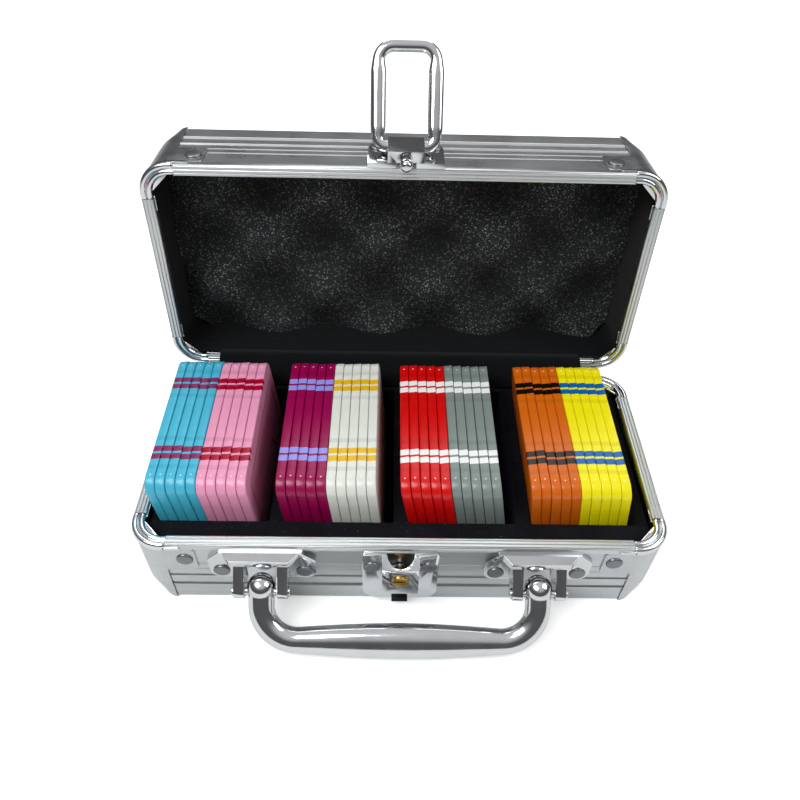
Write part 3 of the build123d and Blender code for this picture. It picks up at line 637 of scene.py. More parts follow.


# Moulded acetate plaque: hard gloss plastic with inlaid edge stripes that end on the faces in
# small triangles, slight bands of painted shadow from the gaps between plaques and a pale pip on
# its edges, and one plain thin frame line on its faces.
def plaque_plastic(name, base, stripe):
    s = plaque_sizes()
    extra = [("Coat Weight", 0.12), ("Coat Roughness", 0.12), ("Specular IOR Level", 0.35)]
    material, _ = new_material(f"Gloss acetate {name}", base, 0.0, 0.32, extra)
    tree = material.node_tree
    place = add_node(tree, "ShaderNodeAttribute", attribute_name="plaque_place").outputs["Vector"]
    across, along, up = xyz(place)
    far = math("ABSOLUTE", along)
    depth_y = math("SUBTRACT", s["length"] / 2, far)
    depth_z = math("SUBTRACT", s["height"] / 2, math("ABSOLUTE", up))
    depth = math("MINIMUM", depth_y, depth_z)
    narrow = math("MULTIPLY", depth_z, 0.62)
    reach = math("SUBTRACT", s["stripe_width"] / 2, narrow)
    masks = []
    for middle in (s["stripe_inner"], s["stripe_outer"]):
        off = math("ABSOLUTE", math("SUBTRACT", far, middle))
        masks.append(math("GREATER_THAN", reach, off))
    face = math("GREATER_THAN", math("ABSOLUTE", across), 2.2)
    line = math("MULTIPLY", face, math("COMPARE", depth, FRAME_LINE_DEPTH, 0.3))
    mask = math("MAXIMUM", *masks, line)
    # Painted shadow: slight darker bands across the edges, standing for the shade in the gaps
    # between plaques.
    bands = math("MAXIMUM", *(math("COMPARE", far, at, 1.3) for at in GAP_SHADOW_PLACES))
    painted_gap_shadow = math("MULTIPLY", bands, math("LESS_THAN", depth, 1.4), 0.22)
    inputs = [(0, place), (3, MM)]
    metres = add_node(tree, "ShaderNodeVectorMath", inputs, operation="SCALE").outputs[0]
    cloud = noise(metres, 9.0, 4.0)
    tone = mixed(painted_gap_shadow, shaded(cloud, base, 0.1, 0.3, 0.7), scaled(base, 0.35))
    away = math("SUBTRACT", far, PIP_PLACE)
    off = math("MULTIPLY_ADD", away, away, math("MULTIPLY", across, across))
    pip = math("LESS_THAN", math("SQRT", off), PIP_RADIUS)
    pip = math("MULTIPLY", pip, math("LESS_THAN", depth_z, 0.5), 0.55)
    tone = mixed(pip, tone, color("#F4F4F0"))
    return linked(material, {
        "Base Color": mixed(mask, tone, stripe),
        "Roughness": ranged(cloud, 0.26, 0.4, 0.3, 0.7),
        "Normal": bump(noise(metres, 1.5, 2.0), 0.02),
    })


# Walls, rims, corners and covers

# Each bead of the wall, or groove where the height is below 0: its start, width and height
WALL_FEATURES = (
    (11.0, 1.8, 0.5), (12.8, 1.6, -0.5), (19.4, 1.4, 0.4),
    (20.8, 1.2, -0.35), (26.0, 1.0, -0.3), (31.0, 1.0, -0.3),
)
RIM_LINES = (0.1, -1.7, -3.5)
RIM_DROP = 0.1
SEAM_GAP = 0.2
COVER_SEAM = 14.5
COVER_SHEET = 0.8
COVER_REACH = 30.2
COVER_DRAW = 2.6
RIM_JOINT = 17.0
GUSSET_REACH = 8.5
GUSSET_RADIUS = 11.6
GUSSET_LEVELS = (45.8, 46.6)
CLIP_SHEET = 0.5
LONG_SIDES = ("front", "rear")
HALVES = (("base", "case_base", as_made), ("lid", "case_lid", to_lid))


def wall_profile():
    """The extrusion's section as (y, z): each bead or groove is half a sine wave over its width."""
    s = sizes()
    top = s["half_height"] - s["rim_height"]
    z = np.concatenate([[0.0, 0.2, 0.5, 0.8], np.arange(1.2, top - 0.1, 0.2), [top]])
    out = -np.clip(0.8 - z, 0, None)
    for start, width, height in WALL_FEATURES:
        out += height * np.sin(np.pi * np.clip((z - start) / width, 0, 1))
    outer = np.stack([-out, z], axis=-1)
    return np.concatenate([outer, [[s["wall"], top], [s["wall"], 0.0]]])


def half_length(side):
    """Half the length of a side of the case."""
    s = sizes()
    return s["width"] / 2 if side in LONG_SIDES else s["depth"] / 2


def grain_turn(half):
    """How far a side wall's grain is turned about X: the lid's walls stand up with it."""
    return sizes()["open_angle"] if half == "lid" else 0.0


def build_strips(look, part, colour, slot, ending, profile, joint, ease, grain, depth):
    """One strip on each wall of both halves, its grain along its run."""
    base = case_colour(colour)
    for half, body, place in HALVES:
        runs = (("long", "x", 0.0), ("end", "y", grain_turn(half)))
        long_metal, end_metal = (
            brushed_aluminium(f"{look} {half} {run} {part}", base, axis, turn, grain, depth)
            for run, axis, turn in runs
        )
        for side in SIDES:
            reach = half_length(side) - joint - SEAM_GAP
            strip = extruded(profile, -reach, reach, ease)
            strip = moved(strip, lambda p: place(on_side(p, side)))
            piece = mesh_piece(f"{half}_{side}_{ending}", [strip])
            metal = long_metal if side in LONG_SIDES else end_metal
            dressed(piece, body, slot, metal, f"{half}_{side}_{part}")


def build_walls():
    build_strips(
        "Brushed aluminium", "wall", "aluminium", "satin_aluminium", "extrusion",
        wall_profile(), joint=COVER_SEAM, ease=0.3, grain=0.25, depth=0.012,
    )


def rim_profile():
    """The rim strip's section: a flat top with rounded arrises, less a fine groove at each line."""
    s = sizes()
    top, low = s["half_height"] - RIM_DROP, s["half_height"] - s["rim_height"]
    out = np.linspace(s["rim_overhang"], -s["rim_width"], 90)
    middle = out.mean()
    share = np.abs(out - middle) / (out[0] - middle)
    z = top - 0.6 * share ** 12
    for line in RIM_LINES:
        z -= 0.3 * np.exp(-((out - line) / 0.2) ** 2)
    crown = np.stack([-out, z], axis=-1)
    return np.concatenate([[[-s["rim_overhang"], low]], crown, [[s["rim_width"], low]]])


def build_rims():
    build_strips(
        "Polished aluminium", "rim", "rim", "polished_rim", "rim_strip",
        rim_profile(), joint=RIM_JOINT, ease=0.15, grain=0.18, depth=0.004,
    )


def corner_path(inset):
    """The plan outline round the front left corner, inset from its ends, with outward normals."""
    s = sizes()
    radius = s["corner_radius"]
    run = np.linspace(inset - radius, 0, 4)
    bend = np.linspace(270, 180, 20)[1:-1]
    turn = np.radians(np.concatenate([np.full(4, 270.0), bend, np.full(4, 180.0)]))
    normal = np.stack([np.cos(turn), np.sin(turn)], axis=-1)
    path = np.array([radius - s["width"] / 2, radius - s["depth"] / 2]) + radius * normal
    path[:4, 0] += run
    path[-4:, 1] += run[::-1]
    return path, normal


def bead_profile():
    """The chrome corner's section as (out, z): two round beads side by side on a flat foot."""
    s = sizes()
    r = s["bead_radius"]
    outer, inner = s["rim_overhang"] + 0.5, -s["rim_width"]
    low, level = s["half_height"] - s["rim_height"], s["half_height"] - RIM_DROP - r
    valley = 180 - np.degrees(np.arccos(min(1.0, (outer - inner - 2 * r) / 2 / r)))
    first = arc((outer - r, level), r, 0, valley, 16)
    second = arc((inner + r, level), r, 180 - valley, 180, 16)
    return np.concatenate([[[outer, low]], first, second, [[inner, low]]])


def along_corner(profile, inset, ease=0.35):
    """An (out, z) profile carried round the corner path, a little smaller at both ends."""
    path, normal = corner_path(inset)
    middle = profile.mean(axis=0)
    shrink = np.ones(len(path))
    shrink[[0, -1]] = 1 - ease / 3
    ring = middle + (profile - middle) * shrink[:, None, None]
    xy = path[:, None] + ring[..., :1] * normal[:, None]
    step = path[1] - path[0]
    xy[1] -= step * (1 - ease / np.linalg.norm(step))
    xy[-2] -= (path[-2] - path[-1]) * (1 - ease / np.linalg.norm(step))
    return shell(stack(xy[..., 0], xy[..., 1], ring[..., 1]), wrap_columns=True, caps=True)


def rounded_rectangle(low, high, radius, count=5):
    """An outline between two opposite corners, its corners quarter circles."""
    x0, y0, x1, y1 = low[0] + radius, low[1] + radius, high[0] - radius, high[1] - radius
    centres = enumerate(((x1, y1), (x0, y1), (x0, y0), (x1, y0)))
    return np.concatenate([arc(c, radius, 90 * i, 90 * i + 90, count) for i, c in centres])


def upright(points):
    """A plate drawn flat, stood up on the front wall: its height runs out to -Y."""
    return stack(points[..., 0], -points[..., 2], points[..., 1])


def swapped(points):
    """The front wall's half of a corner carried over to the side wall."""
    s = sizes()
    half_x, half_y = s["width"] / 2, s["depth"] / 2
    return stack(points[..., 1] + half_y - half_x, points[..., 0] + half_x - half_y, points[..., 2])


def rim_corner_shells():
    """The front left rim corner: beads, a flat gusset inside the bend and four thin clips."""
    s = sizes()
    half_x, half_y = s["width"] / 2, s["depth"] / 2
    low = s["half_height"] - s["rim_height"]
    level = s["half_height"] - RIM_DROP - s["bead_radius"]
    shells = [along_corner(bead_profile(), RIM_JOINT)]
    edge = s["rim_width"]
    reach = edge + GUSSET_REACH
    inside = arc((s["corner_radius"],) * 2, GUSSET_RADIUS, 183, 267, 14)
    gusset = np.concatenate([inside, [[reach, edge], [edge, reach]]]) - [half_x, half_y]
    shells.append(plate(gusset, *GUSSET_LEVELS, 0.2))
    tab = rounded_rectangle((RIM_JOINT - 1 - half_x, low), (RIM_JOINT + 7 - half_x, level), 0.7)
    for out in (-edge - CLIP_SHEET, s["rim_overhang"]):
        clip = plate(tab, out + half_y, out + CLIP_SHEET + half_y, 0.15)
        clip = moved(clip, upright)
        shells += [clip, moved(clip, swapped)]
    return shells


def build_rim_corners():
    chrome = plated_chrome("pressed rim corners")
    for half, body, place in HALVES:
        corners = [(corner, one) for corner in CORNERS for one in rim_corner_shells()]
        shells = [moved(one, lambda p: place(to_corner(p, corner))) for corner, one in corners]
        piece = mesh_piece(f"{half}_chrome_corners", shells)
        dressed(piece, body, "chrome", chrome, f"{half}_rim_corners")


def cover_shell():
    """The front left corner cover as one closed sheet.

    The sheet lies between a lower and an upper edge drawn as (s, z), with s along the plan outline
    from the middle of the bend. Straight lines join the two edges, and the sheet is then carried
    round the bend. Below the crease it draws in, most at the middle of the bend.
    """
    s = sizes()
    radius = s["corner_radius"]
    top, tab_low, crease, corner = s["half_height"] - s["rim_height"], 26.8, 12.0, 2.5
    bend = radius * np.pi / 4
    seam, end = bend - (radius - COVER_SEAM), bend + COVER_REACH - radius
    lower = [
        arc((end - corner, tab_low + corner), corner, 0, -90, 6),
        np.linspace((end - corner - 1, tab_low), (seam + 2, tab_low), 7),
        arc((seam + 2, tab_low - 2), 2, 100, 180, 5),
        np.linspace((seam, tab_low - 3.5), (seam, 0), 13),
        np.linspace((seam - 0.8, 0), (0, 0), 14),
    ]
    upper = [
        arc((end - corner, top - corner), corner, 0, 90, 6),
        np.linspace((end - corner - 1, top), (seam + 3, top), 7),
        np.linspace((seam + 2.6, top), (seam + 1.8, top), 5),
        np.linspace((seam + 1.5, top), (seam - 1.8, top), 13),
        np.linspace((seam - 2.4, top), (0, top), 14),
    ]
    lower, upper = np.concatenate(lower), np.concatenate(upper)
    mirror = np.array([-1, 1])
    lower = np.concatenate([lower, lower[-2::-1] * mirror])[:, None]
    upper = np.concatenate([upper, upper[-2::-1] * mirror])[:, None]
    span = np.linalg.norm(upper - lower, axis=-1)
    near = np.array([0, 0.06, 0.15, 0.3])
    middle = np.linspace(0, 1, 36)[None, 1:-1]
    sheet = 0.3 / span + middle * (1 - 0.6 / span)
    t = np.concatenate([near / span, sheet, 1 - near[::-1] / span], axis=1)
    flat = lower + (upper - lower) * t[..., None]
    run, z = flat[..., 0], flat[..., 1]
    inset = np.minimum(np.minimum(t, 1 - t) * span, end - np.abs(run))
    lip = 0.3 - np.sqrt(np.clip(0.09 - np.clip(0.3 - inset, 0, 0.3) ** 2, 0, None))
    draw = COVER_DRAW * np.cos(np.pi / 2 * np.clip(np.abs(run) / seam, 0, 1)) ** 2
    outer = COVER_SHEET - lip - draw * (np.clip(crease - z, 0, None) / crease) ** 1.35
    inner = 0.04 - (s["wall"] + 0.04) * smooth_step(seam - np.abs(run), 0.05, 0.5)
    run = np.concatenate([run, run[:, ::-1]], axis=1)
    z = np.concatenate([z, z[:, ::-1]], axis=1)
    out = np.concatenate([outer, np.minimum(inner[:, ::-1], outer[:, ::-1] - 0.2)], axis=1)
    turn = np.radians(225) + np.clip(run, -bend, bend) / radius
    x = radius - s["width"] / 2 + (radius + out) * np.cos(turn) + np.clip(run - bend, 0, None)
    y = radius - s["depth"] / 2 + (radius + out) * np.sin(turn) + np.clip(-run - bend, 0, None)
    return shell(stack(x, y, z), wrap_columns=True, caps=True)


def build_covers():
    steel = satin_metal("Satin nickel on stamped covers", "cover", 0.27, 0.35, 0.07)
    for half, body, place in HALVES:
        for corner in CORNERS:
            cover = moved(cover_shell(), lambda p: place(to_corner(p, corner)))
            piece = mesh_piece(f"{half}_{corner}_stamping", [cover], sharp=CURVED_SHEET_ANGLE)
            dressed(piece, body, "cover_sheet", steel, f"{half}_{corner}_cover")


RIVET_INSET = 24.7
RIVET_DROP = 12.0
SHANK_RADIUS = 1.6
PIVOT_X = 65.7
# Rivets of the front's fittings: x, z and how far the head stands out from the wall
FITTING_RIVETS = {
    "base": [(c + d, 29.2, 2.5) for c in (-PIVOT_X, PIVOT_X) for d in (-19.8, 19.8)]
    + [(-13.7, 33.6, 2.6), (13.7, 33.6, 2.6)],
    "lid": [(-13.7, 28.6, 3.4), (13.7, 28.6, 3.4)],
}


def rivet_shell(x, z, face):
    """A flat head with a rounded arris and a shank through the wall, in the front wall's frame."""
    r, back = sizes()["rivet_radius"], face + sizes()["wall"]
    profile = [
        (0, 0.9), (0.72 * r, 0.87), (0.87 * r, 0.78), (0.95 * r, 0.6), (r, 0.32), (r, 0),
        (SHANK_RADIUS, 0), (SHANK_RADIUS, -back), (0, -back),
    ]
    head = turned_part(profile, 40)
    return moved(head, lambda p: p + np.array([x, -face, z]))


def build_rivets():
    steel = satin_metal("Zinc-plated steel rivets", "rivet", 0.36, 0.5, 0.16)
    height = sizes()["half_height"] - RIVET_DROP
    for half, body, place in HALVES:
        rivets = [
            (side, way * (half_length(side) - RIVET_INSET), height, COVER_SHEET)
            for side in SIDES for way in (-1, 1)
        ]
        rivets += [("front", *fitting) for fitting in FITTING_RIVETS[half]]
        shells = [
            moved(rivet_shell(*at), lambda p: place(on_side(p, side))) for side, *at in rivets
        ]
        piece = mesh_piece(f"{half}_rivet_heads", shells)
        dressed(piece, body, "rivet_steel", steel, f"{half}_rivets")


def build_panels():
    skin = pebbled_panel()
    for half in ("base", "lid"):
        paint_node(f"{half}_panel", skin)


# Handle, lock and latch

PIVOT = np.array([0, -70.0, 26.7])
HANDLE_DROOP = 50.0
BALL_RADIUS = 6.7
BALL_OUT = 2.2


def swung(points):
    """The handle from its own flat frame to its droop on the pivots."""
    return turned(points, HANDLE_DROOP) + PIVOT


def build_handle():
    """The handle is an ellipse carried along a U path, thicker towards the middle of the grip.

    Its ends are balls with a shallow groove where they meet the legs.
    """
    bend, reach = 17.0, 24.0
    end = PIVOT_X - bend
    left = arc((-end, bend - reach), bend, 180, 270, 40)
    left = np.concatenate([[[-PIVOT_X, 0.0]], left])
    centres, across = mirrored_path(left, 1.2)
    swell = np.cos(np.pi / 2 * np.clip(np.abs(centres[:, 0]) / end, 0, 1))
    bar = sweep(centres, across, 6.1 + 2.3 * swell, 5.2 + swell, power=2.15, around=44)
    piece = mesh_piece("handle_grip", [moved(bar, swung)])
    dressed(piece, "handle", "chrome", plated_chrome("cast handle", 0.1), "handle")
    tilt = np.radians(np.linspace(0, 180, 33))
    radius = BALL_RADIUS - 0.3 * np.exp(-((np.degrees(tilt) - 52) / 5) ** 2)
    ball = turned_part(np.stack([radius * np.sin(tilt), radius * np.cos(tilt)], axis=-1))
    ends = (-PIVOT_X, PIVOT_X)
    balls = [moved(ball, lambda p: swung(p + np.array([x, BALL_OUT, 0]))) for x in ends]
    piece = mesh_piece("handle_ends", balls)
    dressed(piece, "handle", "chrome", plated_chrome("handle ends"))


def build_brackets():
    chrome = plated_chrome("die-cast brackets")
    for side in ("left", "right"):
        rebuilt(f"{side}_handle_bracket", f"{side}_bracket", 0.45, "case_base", "chrome", chrome)
    rebuilt("handle_pins", "handle_pin_heads", 0.3, "case_base", "chrome", chrome)


def build_lock():
    chrome = plated_chrome("pressed lock")
    brass = satin_metal("Polished brass cylinder", "brass", 0.2, 0.4, 0.12)
    steel = satin_metal("Zinc-plated lock cam", "hinge", 0.35)
    # The tab below the lock is drawn in a dark colour.
    dark = satin_metal("Blackened steel catch", "catch", 0.45)
    rebuilt("lock_plate", "lock_escutcheon", 0.4, "case_base", "chrome", chrome)
    rebuilt("lock_cylinder", "lock_plug", 0.15, "lock_cylinder", "brass", brass)
    rebuilt("lock_catch", "lock_tab", 0.2, "case_base", "dark_catch", dark)
    paint_node("lock_cam", steel)


def build_latch():
    """The latch box and the domed stud below it.

    The stud is a profile turned about an upright axis on the shut lid.
    """
    chrome = plated_chrome("latch")
    rebuilt("lid_latch_plate", "latch_housing", 0.4, "case_lid", "chrome", chrome)
    stud_y, dome_z = -62.7, 41.5
    dome = arc((0, dome_z), 1.9, 0, 90, 9)[1:].tolist()
    profile = [(0, 52.0), (2.8, 52.0), (2.8, 43.6), (2.6, 43.4), (1.3, 43.4), (1.3, dome_z)]
    profile.append((2.8, dome_z))
    profile += [(0.9 + x if x > 0 else 0, 2 * dome_z - z) for x, z in dome] + [(0, 39.6)]
    stud = turned_part(profile)
    stud = moved(stud, lambda p: opened(stack(p[..., 0], p[..., 2] + stud_y, -p[..., 1])))
    dressed(mesh_piece("latch_stud_dome", [stud]), "case_lid", "chrome", chrome, "latch_stud")


def build_bail():
    """The bail is a superellipse carried along a rounded U, wider along its two legs."""
    spacing, first, last, reach = 13.6, 4.4, 7.0, 45.0
    left = np.concatenate([
        arc((first - spacing, -first), first, 90, 180, 14),
        arc((last - spacing, last - reach), last, 180, 270, 18),
    ])
    centres, across = mirrored_path(left, 0.7)
    down = -centres[:, 1]
    leg = smooth_step(down, 3.0, 9.0) * (1 - smooth_step(down, 33.0, 40.0))
    bar = sweep(centres, across, 2.88 + 0.8 * leg, 2.5 + 0.25 * leg, power=2.3, around=36)
    t = np.linspace(0, 2 * np.pi, 24, endpoint=False)
    x = np.array([6.1, 6.4, 9.6])[:, None]
    r = np.array([1.6, 1.9, 1.9])[:, None]
    pin = shell(stack(x, r * np.cos(t), r * np.sin(t)), wrap_columns=True, caps=True)
    shells = [bar, pin, moved(pin, lambda p: p * np.array([-1, 1, 1]))]
    rise, pivot = -29.0, np.array([0, -64.5, 60.0])
    shells = [moved(one, lambda p: opened(turned(p, rise) + pivot)) for one in shells]
    piece = mesh_piece("bail_loop", shells)
    dressed(piece, "bail", "chrome", plated_chrome("bail"), "latch_bail")


def build_hinges():
    steel = satin_metal("Zinc-plated steel hinge", "hinge", 0.34)
    for half, body, _ in HALVES:
        for node, copy, ease in (("leaves", "plates", 0.2), ("rivets", "rivet_heads", 0.25)):
            name = f"{half}_hinge_{copy}"
            rebuilt(f"{half}_hinge_{node}", name, ease, body, "hinge_steel", steel)
    paint_node("hinge_pins", steel)


# Tray, plaques, foam and cloth

def build_tray():
    rebuilt("base_insert", "flocked_tray", 0.7, "case_base", "black_flock", flocked())


PLAQUES = (
    ("sky_blue", "#47B5D2", "#84235A"), ("pink", "#E69ABB", "#A0002B"),
    ("berry", "#93004A", "#8E8FE0"), ("white", "#DDE0D8", "#DDB00A"),
    ("red", "#D00808", "#E8E8E6"), ("grey", "#7E8A86", "#E6E8E6"),
    ("orange", "#D0640A", "#0C0A08"), ("yellow", "#F2E60A", "#0A5FA8"),
)
LEANS = (5.0, 4.8, 10.0, 8.0)
PLAQUES_EACH = 5
PLAQUE_THICKNESS = 4.5
PLAQUE_PITCH = 4.7


def plaque_shell():
    """A rounded slab: its outline in (y, z) carried across its thickness, with rounded arrises."""
    p = plaque_sizes()
    half = np.array([p["length"] / 2, p["height"] / 2])
    outline = rounded_rectangle(-half, half, p["corner"], 12)
    flat = plate(outline, -PLAQUE_THICKNESS / 2, PLAQUE_THICKNESS / 2, p["edge"])
    return moved(flat, lambda v: stack(v[..., 2], v[..., 0], v[..., 1]))


def leaned(points, lean):
    """Points turned by lean radians about the Y axis, their tops going to -X."""
    x, y, z = points[..., 0], points[..., 1], points[..., 2]
    return stack(x * np.cos(lean) - z * np.sin(lean), y, x * np.sin(lean) + z * np.cos(lean))


def build_plaques():
    """Five leaning slabs of each colour, a pitch apart about the middle of the CAD node."""
    flat = plaque_shell()
    lot = np.random.default_rng(7)
    for order, (name, base, stripe) in enumerate(PLAQUES):
        lean = np.radians(LEANS[order // 2])
        low, high = (np.array(corner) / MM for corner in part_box(f"plaques_{name}"))
        pitch = PLAQUE_PITCH / np.cos(lean)
        centre = (low + high) / 2
        shells, places = [], []
        for index in range(PLAQUES_EACH):
            slide = np.array([0, *lot.uniform(-0.35, 0.35, 1), lot.uniform(0, 0.25)])
            middle = centre + np.array([(index - PLAQUES_EACH // 2) * pitch, 0, 0]) + slide
            shells.append(moved(flat, lambda v: leaned(v, lean) + middle))
            place = flat[0].copy()
            place[:, 1] += lot.uniform(-0.3, 0.3) + lot.uniform(-0.06, 0.06) * place[:, 0]
            places.append(place)
        plastic = plaque_plastic(name, color(base), color(stripe))
        piece = mesh_piece(f"{name}_plaques", shells, np.concatenate(places))
        dressed(piece, f"{name}_plaques", f"plaque_{name}", plastic, f"plaques_{name}")


FOAM_CREST = (-12.6, 55.0)
FOAM_FACE = 25.0


def build_foam():
    """Egg-crate foam: a level surface plus cos(kx) cos(ky), cut to a rectangle with cut corners.

    The grid's rows are shortened near the ends, so its edge follows the cut corners, and its border
    is carried down to the foam's back.
    """
    s = sizes()
    half_x, half_y, cut, back, levels = 123.1, 54.1, 9.5, 3.0, 12
    face = s["half_height"] - FOAM_FACE
    v = np.linspace(-1, 1, 91)
    u = np.linspace(-1, 1, 201)
    y = (half_y * v)[:, None]
    x = u[None] * (half_x - np.clip(np.abs(y) - (half_y - cut), 0, None))
    k = 2 * np.pi / s["foam_wave"]
    wave = np.cos(k * (x - FOAM_CREST[0])) * np.cos(k * (y - FOAM_CREST[1]))
    lot = np.random.default_rng(11)
    z = face - s["foam_depth"] / 2 * (1 - wave) - lot.uniform(0, 0.25, x.shape)
    top = stack(x, y + 0 * x, z)
    border = np.concatenate([top[0], top[1:, -1], top[-1, -2::-1], top[-2:0:-1, 0]])
    rings = np.stack([border] * levels)
    drop = np.linspace(0, 1, levels)[:, None]
    rings[..., 2] = border[:, 2] * (1 - drop) + back * drop
    rings[1:-1, :, :2] *= 1 - lot.uniform(0, 0.0012, rings[1:-1, :, :1].shape)
    sides = shell(rings, wrap_columns=True)
    bottom = np.arange(len(border)) + (levels - 1) * len(border)
    shells = [shell(top), (sides[0], sides[1], [bottom])]
    piece = mesh_piece("egg_crate_foam", [moved(one, to_lid) for one in shells], sharp=FOAM_ANGLE)
    dressed(piece, "case_lid", "foam", open_cell_foam(), "lid_foam")


def plan_loop(count=14):
    """The case's rounded plan outline, closed, with outward normals."""
    s = sizes()
    half = np.array([s["width"] / 2, s["depth"] / 2])
    outline = rounded_rectangle(-half, half, s["corner_radius"], count)
    turn = np.radians(np.concatenate([np.linspace(90 * i, 90 * i + 90, count) for i in range(4)]))
    return outline, np.stack([np.cos(turn), np.sin(turn)], axis=-1)


def build_lining():
    """Cloth-covered board round the lid's walls: a thin (out, z) section with a rolled edge."""
    s = sizes()
    outline, normal = plan_loop()
    outer, inner, low, high = -s["wall"], -s["wall"] - 1.2, 3.0, s["half_height"] - s["rim_height"]
    roll = arc(((outer + inner) / 2, high - 0.6), 0.6, 0, 180, 9)
    inside = np.linspace((inner, high - 2), (inner, low), 20)
    section = np.concatenate([[[outer, low]], roll, inside])
    xy = outline[:, None] + section[None, :, :1] * normal[:, None]
    points = stack(xy[..., 0], xy[..., 1], section[None, :, 1])
    band = shell(points, wrap_rows=True, wrap_columns=True)
    piece = mesh_piece("lining_board", [moved(band, to_lid)])
    cloth = woven_cloth("Brushed nylon lining")
    dressed(piece, "case_lid", "lining_cloth", cloth, "lid_lining")


def build_hinge_strip():
    """The cloth over the hinge: a smooth curve in (y, z) carried along X with shallow puckers."""
    knots = np.array([
        (52.5, 43.0), (52.4, 46.5), (52.6, 49.0), (54.4, 51.8),
        (57.6, 54.8), (60.6, 56.9), (63.6, 56.9), (67.4, 55.4),
    ])
    t = np.linspace(0, 1, len(knots))
    at = np.linspace(0, 1, 41)
    path = np.stack([np.interp(at, t, knots[:, i]) for i in (0, 1)], axis=-1)
    for _ in range(6):
        path[1:-1] = (path[:-2] + 2 * path[1:-1] + path[2:]) / 4
    normal = np.gradient(path, axis=0)[:, ::-1] * [-1, 1]
    normal /= np.linalg.norm(normal, axis=1)[:, None]
    half_width, thickness = 102.6, 0.4
    x = np.linspace(-half_width, half_width, 161)[:, None]
    free = np.sin(np.pi * np.clip((at - 0.15) / 0.7, 0, 1)) ** 2
    ripple = np.sin(x / 7.3) + 0.6 * np.sin(x / 4.1 + 1.3) + 0.5 * np.sin(x / 2.3 + 4 * at)
    pucker = 0.35 * free * ripple
    sides = [path + normal * (pucker[..., None] + sign * thickness / 2) for sign in (1, -1)]
    ring = np.concatenate([sides[0], sides[1][:, ::-1]], axis=1)
    band = shell(stack(x, ring[..., 0], ring[..., 1]), wrap_columns=True, caps=True)
    piece = mesh_piece("hinge_cloth", [band], sharp=CURVED_SHEET_ANGLE)
    piece.data.materials.append(woven_cloth("Woven nylon hinge strip"))
    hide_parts("hinge_lining_base", "hinge_lining_lid")
    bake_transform(piece)


# Stage

WHITE = (1, 1, 1, 1)
FOCAL = 32.548
CAMERA_PLACE = (-7.49, -241.64, 337.79)
CAMERA_PITCH, CAMERA_YAW, CAMERA_ROLL = -46.21, 1.48, 1.86


def set_up(thing, right, above, back, place):
    """Links a camera or a lamp with its three axes and its place in metres."""
    bpy.context.scene.collection.objects.link(thing)
    matrix = np.eye(4)
    matrix[:3, :3] = np.stack([right, above, back], axis=-1)
    matrix[:3, 3] = place
    thing.matrix_world = Matrix(matrix.tolist())


def build_camera():
    """A pinhole camera: pitch and yaw give its axis, and roll turns its sides about it."""
    pitch, yaw, roll = np.radians((CAMERA_PITCH, CAMERA_YAW, CAMERA_ROLL))
    ahead = np.array([np.sin(yaw) * np.cos(pitch), np.cos(yaw) * np.cos(pitch), np.sin(pitch)])
    right = np.array([np.cos(yaw), -np.sin(yaw), 0])
    above = np.cross(right, ahead)
    right, above = (
        np.cos(roll) * right + np.sin(roll) * above, np.cos(roll) * above - np.sin(roll) * right,
    )
    data = bpy.data.cameras.new("Camera")
    data.lens, data.sensor_width = FOCAL, 36.0
    data.clip_start, data.clip_end = 0.01, 50.0
    camera = bpy.data.objects.new("Camera", data)
    set_up(camera, right, above, -ahead, np.array(CAMERA_PLACE) * MM)
    bpy.context.scene.camera = camera


def build_world():
    """A studio: white to the camera, dim and even on matt faces, brighter upwards in mirrors."""
    world = bpy.data.worlds.new("Studio")
    world.use_nodes = True
    bpy.context.scene.world = world
    tree = world.node_tree
    tree.nodes.clear()
    place = add_node(tree, "ShaderNodeTexCoord").outputs["Generated"]
    ramp = add_node(tree, "ShaderNodeValToRGB", [(0, xyz(place)["Z"])])
    stops = ((0.0, 0.1), (0.44, 0.12), (0.56, 0.26), (0.66, 0.5), (0.8, 0.62), (1.0, 0.7))
    for index, (at, level) in enumerate(stops):
        stop = ramp.color_ramp.elements[index] if index < 2 else ramp.color_ramp.elements.new(at)
        stop.position, stop.color = at, (level, level, level * 1.01, 1)
    rays = add_node(tree, "ShaderNodeLightPath").outputs
    mirror, even, white = (
        add_node(tree, "ShaderNodeBackground", [("Color", tone), ("Strength", strength)]).outputs[0]
        for tone, strength in ((ramp.outputs["Color"], 1.0), (WHITE, 0.3), (WHITE, 1.0))
    )
    seen = math("MAXIMUM", rays["Is Glossy Ray"], rays["Is Transmission Ray"])
    lit = add_node(tree, "ShaderNodeMixShader", [(0, seen), (1, even), (2, mirror)]).outputs[0]
    inputs = [(0, rays["Is Camera Ray"]), (1, lit), (2, white)]
    mix = add_node(tree, "ShaderNodeMixShader", inputs)
    add_node(tree, "ShaderNodeOutputWorld", [("Surface", mix.outputs[0])])


# Each lamp's name, place in metres, width, height and power in watts
LAMPS = (
    ("Key softbox", (-0.45, -0.35, 0.95), 0.7, 0.5, 8.0),
    ("Fill softbox", (0.75, -0.1, 0.75), 0.5, 0.6, 3.5),
    ("Rear softbox", (0.0, 0.75, 0.9), 0.9, 0.35, 3.0),
)


def build_lamps():
    for name, place, wide, tall, power in LAMPS:
        data = bpy.data.lights.new(name, "AREA")
        data.shape, data.size, data.size_y, data.energy = "RECTANGLE", wide, tall, power
        lamp = bpy.data.objects.new(name, data)
        aim = np.array([0, 0, 0.04]) - np.array(place)
        back = -aim / np.linalg.norm(aim)
        side = np.cross((0, 0, 1), back)
        side /= np.linalg.norm(side)
        set_up(lamp, side, np.cross(back, side), back, place)


FLOOR_REACH = 3000
FLOOR_LEVEL = -0.05


